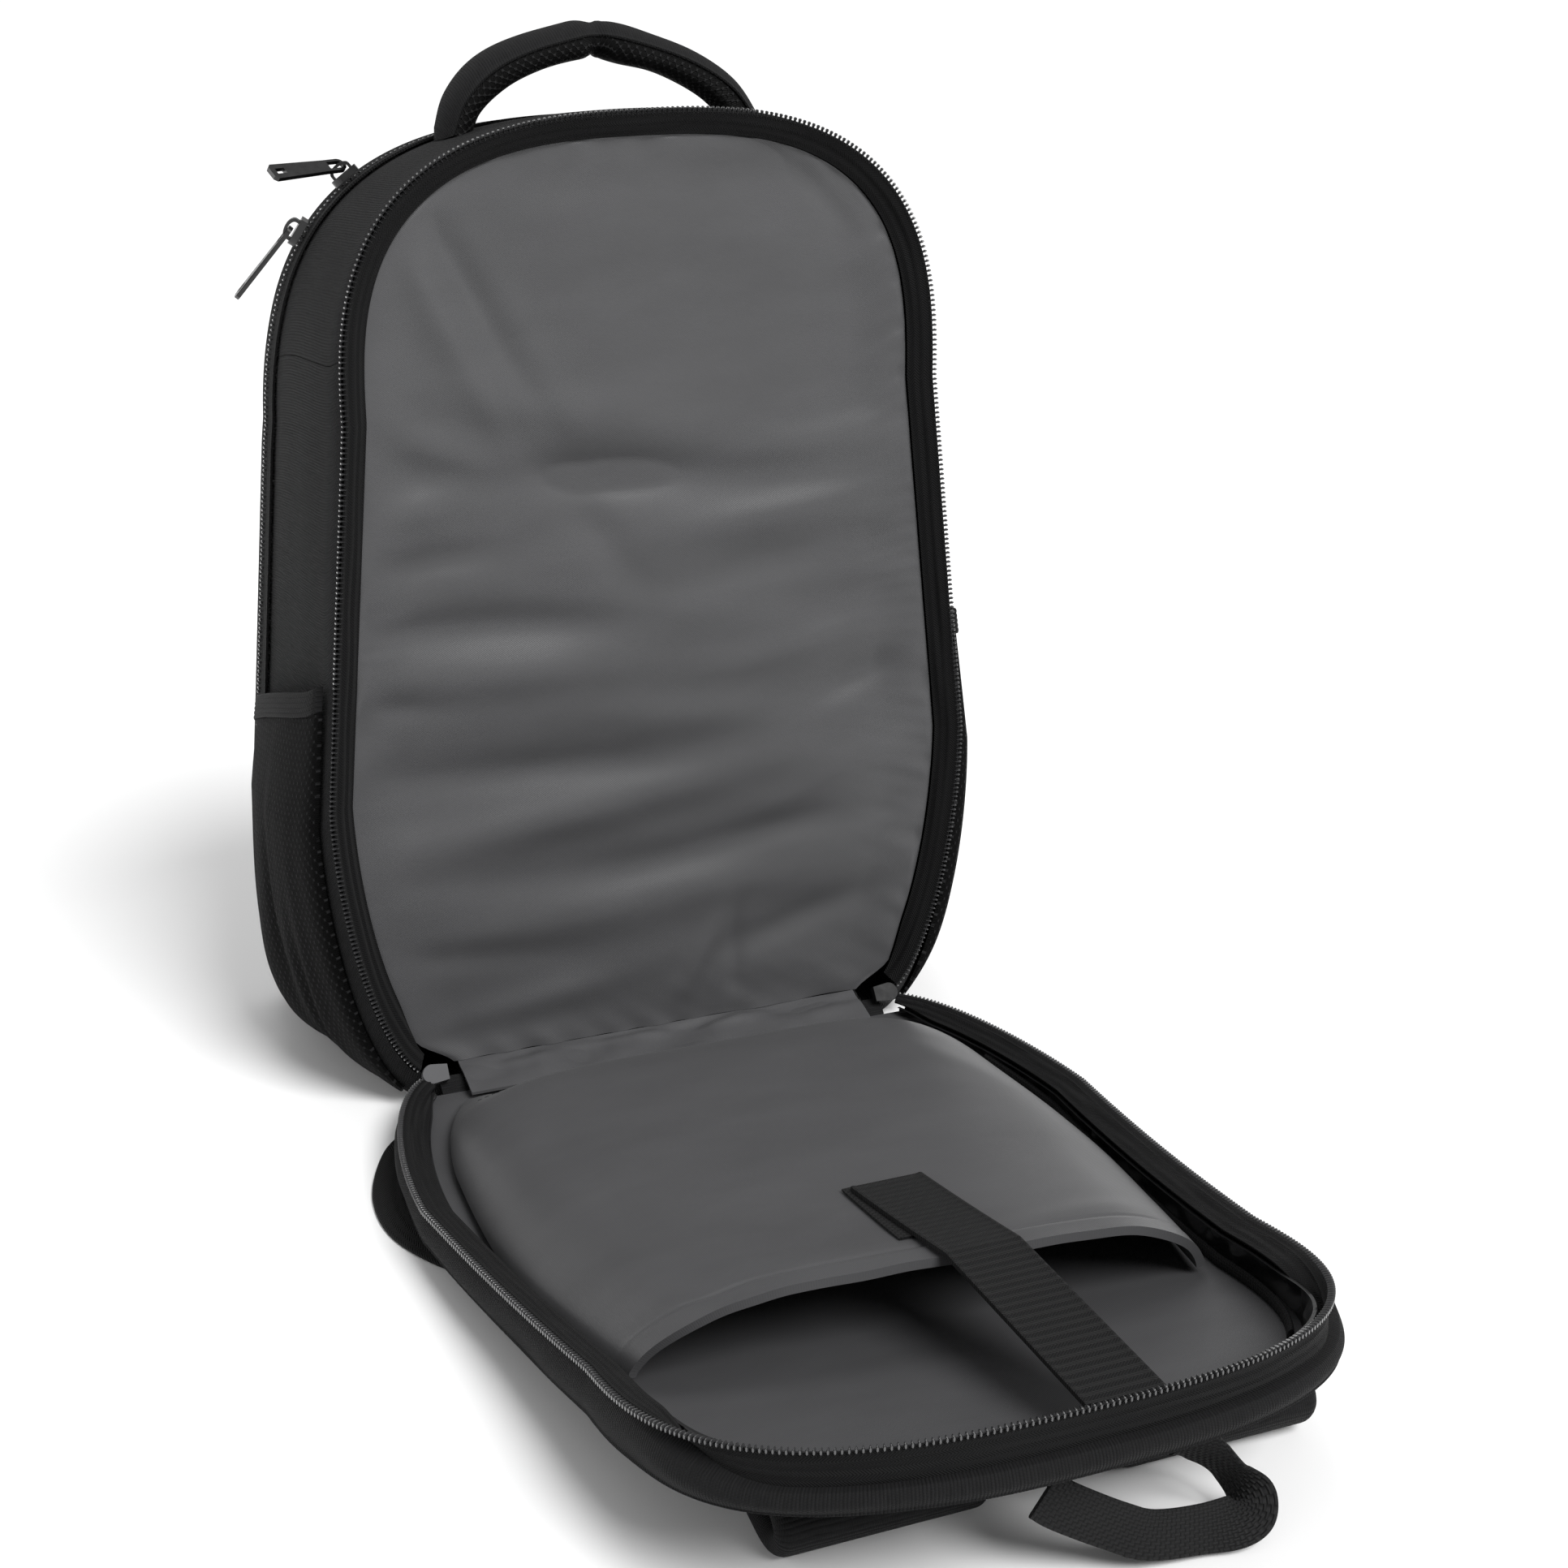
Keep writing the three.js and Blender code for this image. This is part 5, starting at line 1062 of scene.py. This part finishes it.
# Padded back under the tray: superellipse from its edge, with sewn channels between raised lanes
def padSkin(under):
    u, v = ringGrid(pad["steps"])
    half = bag["hinge"] / 2 - pad["inset"]
    middle = pad["middle"] * bag["zipHeight"]
    x, z = insetOutline(np.clip(u / pad["arch"], 0, 1), pad["inset"])
    k = (u - pad["arch"]) / (1 - pad["arch"])
    x, z = np.where(u > pad["arch"], lerp(-half, half, k), x), np.where(u > pad["arch"], pad["start"], z)
    a = v * math.pi / 2
    keep = np.maximum(np.cos(a), 0) ** (2 / pad["round"]) if under else 1 - v
    keep = np.where(v >= 1, 0, keep)
    along = middle + (np.maximum(z, pad["start"]) - middle) * keep
    thick = padAt(along) * lerp(0.3, 1, np.sin(a) ** (2 / pad["round"]))
    lanes = bell(np.abs(x * keep) - pad["channelOut"], pad["channelWide"])
    for up in pad["channelUp"]:
        lanes = lanes + bell(along - up, pad["channelWide"])
    thick = thick - pad["channel"] * lanes * smooth(v * 2)
    return tray(x * keep, along, -wallAt(along) - panel["padSeat"] - (thick if under else 0))


top, under = padSkin(False), padSkin(True)
piece = shell("back_pad_mesh", top, under, closed=True, uv=under[..., :2] / 1000)
settle(piece, "handleMesh", ["back_pad"])

floor = dict(inset=2.6, start=7, steps=(120, 200), most=0.24)
floorFolds = [(-60, 372, 60, 7, 10, 0.8), (60, 380, 50, 8, -12, 0.7), (-88, 345, 40, 6, 40, 0.7),
              (96, 350, 36, 7, -50, 0.8), (20, 396, 60, 5, 2, 0.6)]


# Lining on the tray's floor, with shallow folds where nothing presses it flat
def floorSkin(lift):
    u, v = grid(*floor["steps"])
    share = np.linspace(float(shareAtHeight(3)), 0.5, 1500)
    rimX, rimZ = insetOutline(share, floor["inset"])
    along = lerp(floor["start"], rimZ[-1], 1 - (1 - v) ** 1.5)
    half = np.where(v >= 1, 0, np.interp(along, rimZ, rimX))
    x = lerp(half, -half, u)
    low = 0.5 * smooth((half - np.abs(x)) / 20) * smooth((rimZ[-1] - along) / 20)
    fold = np.minimum(foldsAt(x, along, floorFolds) * low, floor["most"] * low)
    return tray(x, along, floorAt(along) - lift + fold), np.stack([x, along], -1) / 1000


skin, uv = floorSkin(0)
piece = shell("floor_lining", skin, floorSkin(bag["lining"])[0], uv=uv)
settle(piece, "lining", ["panel_lining"])

strip = dict(reach=24, rise=4, ripple=0.8, steps=(260, 60), rows=[0, 0.25, 0.5, 0.75, 1],
             out=[-0.27, -0.1, 0.12, 0.4, 0.7], up=[0.15, -0.12, -0.3, -0.65, -1.15], fold=1.7,
             foldScale=30)
# as in dividerFolds, with the places and widths up as shares of the strip's reach
stripFolds = [(-70, 0.4, 14, 0.16, 0, 1.0), (-46, 0.55, 10, 0.3, 30, -0.9), (-20, 0.3, 22, 0.14, 6, 1.0),
              (4, 0.6, 9, 0.4, 60, -0.9), (30, 0.4, 20, 0.14, -8, 0.9), (52, 0.55, 8, 0.4, 70, 0.8),
              (76, 0.4, 18, 0.16, -4, -0.8), (88, 0.6, 7, 0.5, 80, 0.9), (-90, 0.5, 7, 0.5, 80, -0.8)]


# Lining over the hinge seam, gathered into small folds that cross it
def stripSkin(lift):
    u, v = grid(*strip["steps"])
    half = bag["hinge"] / 2 - zipEnd["clear"] - 1
    x = lerp(-half, half, u)
    soft = np.sin(math.pi * v)
    wrinkle = strip["ripple"] * np.sin(9 * math.pi * u + 4 * v) * soft
    scale = strip["foldScale"]
    rows = [(a, b * scale, c, d * scale, e, f) for a, b, c, d, e, f in stripFolds]
    detail = foldsAt(x, v * scale, rows) * strip["fold"]
    detail = (detail + 0.45 * unevenAt(x, v * 14, 17, seed=61)) * soft
    z = readColumn(strip["rows"], strip["up"], v) * strip["rise"] + wrinkle + lift
    z = z + np.maximum(detail, -0.6)
    return point(x, -readColumn(strip["rows"], strip["out"], v) * strip["reach"], z)


skin = stripSkin(bag["lining"])
piece = shell("hinge_lining", skin, stripSkin(0))
settle(piece, "lining", ["hinge_strip"])
print("stage: opened panel")

# Crumpled lining down the inside of the wall

# waves: count along the wall, share of the depth, phase
crumple = dict(foot=6.5, belly=2.9, down=1.4, deep=2.6, waves=[(17, 0.6, 0.3), (29, 0.5, 1.7), (43, 0.3, 4.1)],
               steps=(620, 30), fine=1.25)


# Between the tape and the floor: a belly, the long crumples of the table and finer ones over them
def crumpleSkin(lift):
    u, v = grid(*crumple["steps"])
    share = lerp(wall["end"] / outLength, 1 - wall["end"] / outLength, u)
    along = outlineAt(share)[1]
    stand, wide = upright(share), tapeAt(share)
    topIn = lerp(0.86 * wide, bag["lining"], stand) + zipEnd["edge"]
    topDown = lerp(0.3 * wide, zipEnd["tapeWall"], stand) + crumple["down"]
    foot = -floorAt(along) - 2 * bag["gap"]
    soft = np.sin(math.pi * v)
    waves = sum(deep * np.sin(count * math.pi * share + phase + 1.5 * v)
                for count, deep, phase in crumple["waves"])
    run = share * outLength
    sharp = 1 - 2 * np.abs(((run / 19 + 0.35 * np.sin(run / 31) + 0.5 * v) % 1) - 0.5)
    fine = crumple["fine"] * (unevenAt(run, v * 16, 15, seed=71) + 1.2 * sharp - 0.6)
    belly = crumple["belly"] * soft * (1 - stand) + crumple["deep"] * soft * waves + fine * soft
    ring = trayRing(share, -lerp(topIn, crumple["foot"], v) + belly - lift, -lerp(topDown, foot, v))
    ring[..., 2] += 0.5 * unevenAt(run, v * 9, 23, seed=73) * soft
    return ring


skin = crumpleSkin(0)
piece = shell("wall_lining_cloth", skin, crumpleSkin(bag["lining"]), sharp=70)
settle(piece, "darkLining", ["wall_lining"])

binding = dict(inset=13.5, wide=2.4, tall=5, lean=0.6, steps=900, pitch=1.6)


# Ribbed binding on the floor's side seams: a rounded section whose size beats along it
def bindingRings(start, end, mirror):
    u = np.linspace(0, 1, binding["steps"])
    share = shareAtHeight(lerp(start, end, u) * bag["zipHeight"])
    along = outlineAt(share)[1]
    low = floorAt(along) + bag["gap"]
    beat = 1 + 0.1 * np.sin(2 * math.pi * share * outLength / binding["pitch"])
    rings = []
    for a in np.arange(12) / 12 * 2 * math.pi:
        out, up = math.cos(a), (math.sin(a) + 1) / 2
        grow = (out * beat + binding["lean"] * up) * binding["wide"] / 2 - binding["inset"]
        ring = trayRing(share, grow, low + up * binding["tall"])
        ring[..., 0] *= mirror
        rings.append(ring)
    return np.stack(rings, axis=1)


for word, start, end, mirror in (("right", 0.17, 0.9, 1), ("left", 0.3, 0.8, -1)):
    piece = sweep("binding_cord_" + word, bindingRings(start, end, mirror), sharp=80)
    settle(piece, "elastic", ["binding_" + word])

# Padded sleeve, open towards the front

sleeve = dict(along=[0.055, 0.09, 0.14, 0.22, 0.45, 0.62, 0.8],
              half=[0.69, 0.75, 0.8, 0.84, 0.86, 0.8, 0.7], high=[0.04, 0.4, 0.8, 1, 1, 1, 1], rise=31, wall=3.5,
              mouth=309, skew=8, corner=12, flat=5, round=0.72, steps=(220, 220), hem=13, hemHigh=0.5)
sleeve["edge"] = sleeve["wall"] + 2 * bag["gap"]
sleeveFolds = [(-88, 180, 70, 9, 86, -1.0), (-96, 280, 30, 7, 60, 1.0), (-80, 292, 26, 6, 48, -1.0),
               (-30, 286, 40, 9, 10, 0.7), (60, 292, 42, 8, -6, 0.6), (100, 240, 40, 9, 100, -0.7),
               (90, 120, 40, 10, 60, 0.5), (-96, 100, 40, 9, 110, 0.6), (0, 60, 70, 10, 4, 0.5),
               (30, 200, 90, 26, 12, 0.6), (-40, 140, 80, 30, 20, 0.5)]


def sleeveHalf(along):
    return readColumn(sleeve["along"], sleeve["half"], along / bag["zipHeight"]) * bag["width"] / 2


def sleeveLevel(across, along):
    high = readColumn(sleeve["along"], sleeve["high"], along / bag["zipHeight"]) * sleeve["rise"]
    dome = np.maximum(1 - np.abs(across) ** sleeve["flat"], 0) ** sleeve["round"]
    return floorAt(along) + sleeve["edge"] + high * dome


# Sleeve: half widths and heights of the table, a flat-topped dome across, with a turned hem at its mouth
def sleeveSkin(detail):
    u, v = grid(*sleeve["steps"])
    s = lerp(-1, 1, u)
    across = np.sin(s * math.pi / 2) * 0.5 + s * 0.5
    mouth = sleeve["mouth"] + sleeve["skew"] * across - sleeve["corner"] * across ** 6
    along = lerp(sleeve["along"][0] * bag["zipHeight"], mouth, v ** 0.8)
    x = across * sleeveHalf(along)
    back = mouth - along
    hem = sleeve["hemHigh"] * (smooth((sleeve["hem"] - back) / 3) - bell(back - sleeve["hem"], 0.9))
    ripple = 0.5 * unevenAt(x, along * 0.2, 40, seed=81) * np.exp(-back / 14)
    foot = 0.4 * unevenAt(x, along * 0.3, 13, seed=83) * np.exp(-(along - 24) ** 2 / 90)
    rim = 1 - np.abs(across)
    inside = smooth(rim / 0.12) * smooth((along - 26) / 14)
    lift = (foldsAt(x, along, sleeveFolds) + 0.35 * unevenAt(x, along, 120, seed=85) + ripple) * inside
    lift = lift + hem * smooth(rim / 0.05) + foot * smooth(rim / 0.1)
    return tray(x, along, sleeveLevel(across, along) + detail * lift), np.stack([x, along], -1) / 1000


skin, uv = sleeveSkin(1)
inner = skin + gridNormals(sleeveSkin(0)[0]) * sleeve["wall"]
along = -inner[..., 1] / math.cos(bag["angle"])
inner[..., 2] = np.maximum(inner[..., 2], rimHeight(along) + floorAt(along) + bag["gap"])
piece = shell("sleeve_cloth", skin, inner, uv=uv)
settle(piece, "lining", ["laptop_sleeve"])


# Small stitches in a row: little rounded bars lying along a line on a surface
def stitchRow(name, path, normal, pitch, size, look):
    run = runAlong(path)
    places = np.arange(pitch, run[-1] - pitch, pitch)
    middle = np.stack([np.interp(places, run, path[:, i]) for i in range(3)], -1)
    up = unit(np.stack([np.interp(places, run, normal[:, i]) for i in range(3)], -1))
    along = unit(np.gradient(middle, axis=0))
    out = unit(np.cross(up, along))
    a = np.arange(6) / 6 * 2 * math.pi
    rows = [(-0.5, 0.35), (-0.3, 1.0), (0.3, 1.0), (0.5, 0.35)]
    half = size[1] / 2
    corners = np.concatenate([np.stack([np.full(6, place * size[0]), np.cos(a) * r * half, np.sin(a) * r * half],
                                       -1) for place, r in rows])
    faces = [[r * 6 + i, r * 6 + 6 + i, r * 6 + 6 + (i + 1) % 6, r * 6 + (i + 1) % 6][::-1]
             for r in range(3) for i in range(6)]
    faces += [list(range(6))[::-1], list(range(18, 24))]
    settle(scatter(name, corners, faces, middle, along, out, up), look, [])


stitch = dict(row=5, ends=14, lift=0.1, pitch=3.4, size=(2.0, 0.5))
pick = slice(stitch["ends"], -stitch["ends"])
normal = -gridNormals(skin)[pick, stitch["row"]]
path = skin[pick, stitch["row"]] + normal * stitch["lift"]
stitchRow("sleeve_foot_stitches", path, normal, stitch["pitch"], stitch["size"], "thread")
print("stage: sleeve")

# Hook strap over the sleeve's mouth, with its patch

strap = dict(wide=30, wall=1.8, start=238, end=409, across=8, drift=11, brow=4, foot=8, steps=(30, 240),
             edge=0.35, edgeAt=0.03, patchStart=234, patchEnd=288, patchWall=1.2, patchShift=2, patchSeat=0.4,
             patchSteps=(24, 40))


def onSleeve(x, along, lift):
    return tray(x, along, sleeveLevel(x / sleeveHalf(along), along) + lift)


# The strap follows the sleeve up to its brow and then falls straight to the panel's end
def strapSkin(lift):
    u, v = grid(*strap["steps"])
    along = lerp(strap["start"], strap["end"], v)
    middle = strap["across"] + strap["drift"] * (along - strap["start"]) / (strap["end"] - strap["start"])
    x = middle + (u - 0.5) * strap["wide"]
    seat = strap["patchSeat"] + strap["patchWall"] + bag["gap"] + lift
    brow = sleeve["mouth"] + strap["brow"]
    level = onSleeve(x, np.minimum(along, brow), seat)
    to = tray(x, np.full_like(x, strap["end"]), -strap["foot"] + lift)
    k = np.clip((along - brow) / (strap["end"] - brow), 0, 1)[..., None]
    return lerp(level, to, k), np.stack([x - middle, along], -1) / 1000


places = np.linspace(0, 1, strap["steps"][0] + 1)
skin, uv = strapSkin(strap["wall"])
skin[..., 2] += strap["edge"] * edgeBells(places, strap["edgeAt"], strap["edgeAt"])[:, None]
piece = shell("hook_strap_web", skin, strapSkin(0)[0], uv=uv)
settle(piece, "strapWeave", ["hook_strap"])


def patchSkin(lift):
    u, v = grid(*strap["patchSteps"])
    x = strap["across"] - strap["patchShift"] + (u - 0.5) * strap["wide"]
    return onSleeve(x, lerp(strap["patchStart"], strap["patchEnd"], v), strap["patchSeat"] + 0.35 + lift)


skin = patchSkin(strap["patchWall"] - 0.3)
piece = shell("loop_patch_web", skin, patchSkin(0))
settle(piece, "webbing", ["loop_patch"])


# Flat band with rounded edges: rings of four quarter circles along a path of middles, across and up ways
def bandRings(middle, across, up, thick, corners=4):
    rings = []
    half = np.linalg.norm(across, axis=-1, keepdims=True)
    way = across / half
    radius = np.minimum(thick / 2, half) * 0.999
    for side, start in ((1, 0), (-1, 0.5), (-1, 1), (1, 1.5)):
        for k in range(corners):
            a = (start + 0.5 * k / (corners - 1)) * math.pi
            x = side * (half - radius) + math.cos(a) * radius
            rings.append(middle + way * x + up * (math.sin(a) * radius))
    return np.stack(rings, axis=1)


# Shoulder straps folded under the panel, then their webbing round to the hinge corner
shoulder = dict(wide=80, thick=10, order=np.arange(9),
                along=[0.785, 0.825, 0.855, 0.87, 0.86, 0.835, 0.77, 0.69, 0.6],
                room=[1, 0.97, 0.86, 0.5, 0.16, 0, 0, 0, 0], taper=[1, 1, 1, 1, 1, 1, 0.95, 0.86, 0.7],
                webWide=36, webWall=1.7, clear=0.3, steps=160)
web = dict(order=np.arange(8), out=[0.5, 0.5, 0.63, 0.8, 0.915, 0.94, 0.86, 0.78],
           follow=[1, 1, 0.6, 0.1, 0, 0, 0, 0],
           along=[1, 0.93, 0.776, 0.573, 0.438, 0.304, 0.169, 0.1], lift=[2.2, 1.8, 0, 0, 0, 0, 0.3, 0.6],
           wide=[0.8, 0.8, 0.9, 1, 1, 1, 1, 0.8])
for word, side, middle in (("right", 1, 82), ("left", -1, -50)):
    def padPoint(place):
        along = readColumn(shoulder["order"], shoulder["along"], place) * bag["zipHeight"]
        low = -bag["rise"] + shoulder["clear"] + shoulder["thick"] / 2
        high = underPad(along) - shoulder["thick"] / 2 - bag["gap"]
        level = lerp(low, high, readColumn(shoulder["order"], shoulder["room"], place))
        return point(middle, -along * math.cos(bag["angle"]), level)

    place = np.linspace(0, 8, shoulder["steps"])
    tangent = unit(padPoint(place + 0.05) - padPoint(place - 0.05))
    half = readColumn(shoulder["order"], shoulder["taper"], place) * shoulder["wide"] / 2
    up = unit(np.cross(tangent, np.array([1.0, 0, 0])))
    rings = bandRings(padPoint(place), point(half, 0, 0), up, shoulder["thick"], 8)
    piece = sweep("strap_pad_cloth_" + word, rings)
    settle(piece, "wallFabric", ["strap_pad_" + word])

    def webPoint(place):
        edge = side * readColumn(web["order"], web["out"], place) * bag["width"] / 2
        length = 0.6 * bag["zipHeight"] * math.cos(bag["angle"]) - 2 * bag["gap"]
        level = -bag["rise"] + shoulder["clear"] + shoulder["webWall"] / 2
        return point(lerp(edge, middle, readColumn(web["order"], web["follow"], place)),
                     -readColumn(web["order"], web["along"], place) * length,
                     level + readColumn(web["order"], web["lift"], place) * shoulder["webWall"])

    place = np.linspace(0, 7, 150)
    tangent = webPoint(place + 0.05) - webPoint(place - 0.05)
    tangent[:, 2] = 0
    tangent = unit(tangent)
    across = point(-tangent[:, 1], tangent[:, 0], 0)
    across = across * (readColumn(web["order"], web["wide"], place) * shoulder["webWide"] / 2)[:, None]
    up = np.broadcast_to(np.array([0, 0, 1.0]), across.shape)
    piece = sweep("strap_web_" + word, bandRings(webPoint(place), across, up, shoulder["webWall"], 4))
    settle(piece, "strapWeave", ["strap_webbing_" + word])

# Hang loop: a band whose width turns as it hangs and comes back
loop = dict(span=60, seat=0.95, drop=36, wide=18, wall=1.7, middle=26, order=np.arange(10),
            across=[-0.6, -0.48, -0.18, 0.05, 0.4, 0.66, 0.76, 0.7, 0.55, 0.4],
            along=[0.955, 0.958, 0.965, 0.969, 0.971, 0.968, 0.953, 0.935, 0.931, 0.936],
            down=[0, 0.16, 0.46, 0.64, 0.71, 0.74, 0.68, 0.5, 0.24, 0],
            wx=[1, 0.9, 0.8, 0.35, 0.15, -0.3, -0.4, -0.6, -0.85, -1],
            wy=[0, 0, 0, 0.2, 0.3, 0.8, 0.9, 0.8, 0.5, 0.1], 
            wz=[0.2, 0.4, 0.6, 0.9, 0.95, 0.5, 0.2, 0.1, 0, 0])


def loopPoint(place):
    high = underPad(loop["seat"] * bag["zipHeight"]) - 2 * bag["gap"] - loop["wall"] / 2
    return point(loop["middle"] + readColumn(loop["order"], loop["across"], place) * loop["span"],
                 -readColumn(loop["order"], loop["along"], place) * bag["zipHeight"],
                 high - readColumn(loop["order"], loop["down"], place) * loop["drop"])


place = np.linspace(0, 9, 200)
tangent = unit(loopPoint(place + 0.05) - loopPoint(place - 0.05))
width = point(*(readColumn(loop["order"], loop[key], place) for key in ("wx", "wy", "wz")))
width = unit(width - tangent * (width * tangent).sum(-1, keepdims=True))
rings = bandRings(loopPoint(place), width * loop["wide"] / 2, unit(np.cross(tangent, width)), loop["wall"], 4)
piece = sweep("hang_loop_web", rings)
settle(piece, "webbing", ["hang_loop"])
print("stage: straps")

# Sliders and pulls keep their solids: welded, with softened edges and a lacquer

slide = dict(weld=0.00001, bevel=0.0001, segments=2, sharp=35)
slideLooks = dict(slider_lower="lacquer", slider_upper="lacquer", pull_lower="lacquer", pull_upper="lacquer",
                  corner_slider_left="gunmetal", corner_slider_right="cornerPaint")
for node, look in slideLooks.items():
    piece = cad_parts[node]
    piece.data.materials.clear()
    piece.data.materials.append(looks[look])
    weld = piece.modifiers.new("weld", "WELD")
    weld.merge_threshold = slide["weld"]
    bevel = piece.modifiers.new("soft edges", "BEVEL")
    bevel.width, bevel.segments = slide["bevel"], slide["segments"]
    bevel.limit_method, bevel.angle_limit = "ANGLE", math.radians(slide["sharp"])
print("stage: sliders")

# Camera, floor and light

camera = bpy.data.objects.new("camera", bpy.data.cameras.new("camera"))
bpy.context.scene.collection.objects.link(camera)
# place in millimetres, angles in radians, focal length in pixels of the photograph
view = dict(place=(-351.3, -1026.8, 540.1), yaw=0.3816, pitch=0.3653, roll=-0.0042, focal=3150.6, pixels=1932,
            sensor=36)
camera.data.sensor_width = view["sensor"]
camera.data.lens = view["focal"] / view["pixels"] * view["sensor"]
yaw, pitch = view["yaw"], view["pitch"]
forward = Vector((math.sin(yaw) * math.cos(pitch), math.cos(yaw) * math.cos(pitch), -math.sin(pitch)))
right = Vector((math.cos(yaw), -math.sin(yaw), 0))
upward = right.cross(forward)
turned = Matrix((right, upward, -forward)).transposed() @ Matrix.Rotation(view["roll"], 3, "Z")
camera.matrix_world = Matrix.Translation(Vector((packPlace + view["place"]) / 1000)) @ turned.to_4x4()
bpy.context.scene.camera = camera

floorReach = 60
floorMesh = bpy.data.meshes.new("floor")
corners = [(x * floorReach, y * floorReach, 0) for x, y in ((-1, -1), (1, -1), (1, 1), (-1, 1))]
floorMesh.from_pydata(corners, [], [(0, 1, 2, 3)])
floorPlane = bpy.data.objects.new("floor", floorMesh)
bpy.context.scene.collection.objects.link(floorPlane)
paper = bpy.data.materials.new("paper")
paper.use_nodes = True
paperInputs = paper.node_tree.nodes["Principled BSDF"].inputs
paperInputs["Base Color"].default_value = (0.9, 0.9, 0.9, 1)
paperInputs["Roughness"].default_value = 0.9
paperInputs["Specular IOR Level"].default_value = 0.1
floorMesh.materials.append(paper)

# A wide soft sun lights the floor evenly; discs give the fabrics and lacquer their soft gloss
sun = dict(toward=(0.3, -0.9, 1.0), angle=28, power=3.4)
light = bpy.data.lights.new("key", "SUN")
light.angle, light.energy = math.radians(sun["angle"]), sun["power"]
lamp = bpy.data.objects.new("key", light)
lamp.rotation_euler = Vector(sun["toward"]).to_track_quat("Z", "Y").to_euler()
bpy.context.scene.collection.objects.link(lamp)
# place and aim in metres, size in metres, power in watts
lamps = dict(fill=((1.9, -1.6, 1.2), (0.0, -0.1, 0.15), 1.6, 6),
             top=((0.1, 0.5, 2.4), (0.0, -0.1, 0.1), 1.2, 12),
             low=((-2.0, 0.6, 0.7), (0.0, 0.0, 0.2), 1.2, 9))
for name, (place, aim, size, power) in lamps.items():
    light = bpy.data.lights.new(name, "AREA")
    light.shape, light.size, light.energy = "DISK", size, power
    lamp = bpy.data.objects.new(name, light)
    lamp.location = place
    lamp.rotation_euler = (Vector(place) - Vector(aim)).to_track_quat("Z", "Y").to_euler()
    bpy.context.scene.collection.objects.link(lamp)
world = bpy.data.worlds.new("studio")
world.use_nodes = True
# The world lights weakly, while the backdrop that the camera sees is as pale as the floor
nodes, links = world.node_tree.nodes, world.node_tree.links
ambient, sky = nodes["Background"], nodes.new("ShaderNodeBackground")
ambient.inputs[0].default_value = (1, 1, 1, 1)
ambient.inputs[1].default_value = 0.42
sky.inputs[0].default_value = (1, 1, 1, 1)
path, blend = nodes.new("ShaderNodeLightPath"), nodes.new("ShaderNodeMixShader")
links.new(path.outputs["Is Camera Ray"], blend.inputs[0])
links.new(ambient.outputs[0], blend.inputs[1])
links.new(sky.outputs[0], blend.inputs[2])
links.new(blend.outputs[0], nodes["World Output"].inputs[0])
bpy.context.scene.world = world
bpy.context.scene.view_settings.view_transform = "Standard"

print("stage: camera and light;", sum(len(o.data.polygons) for o in made.values()), "faces")
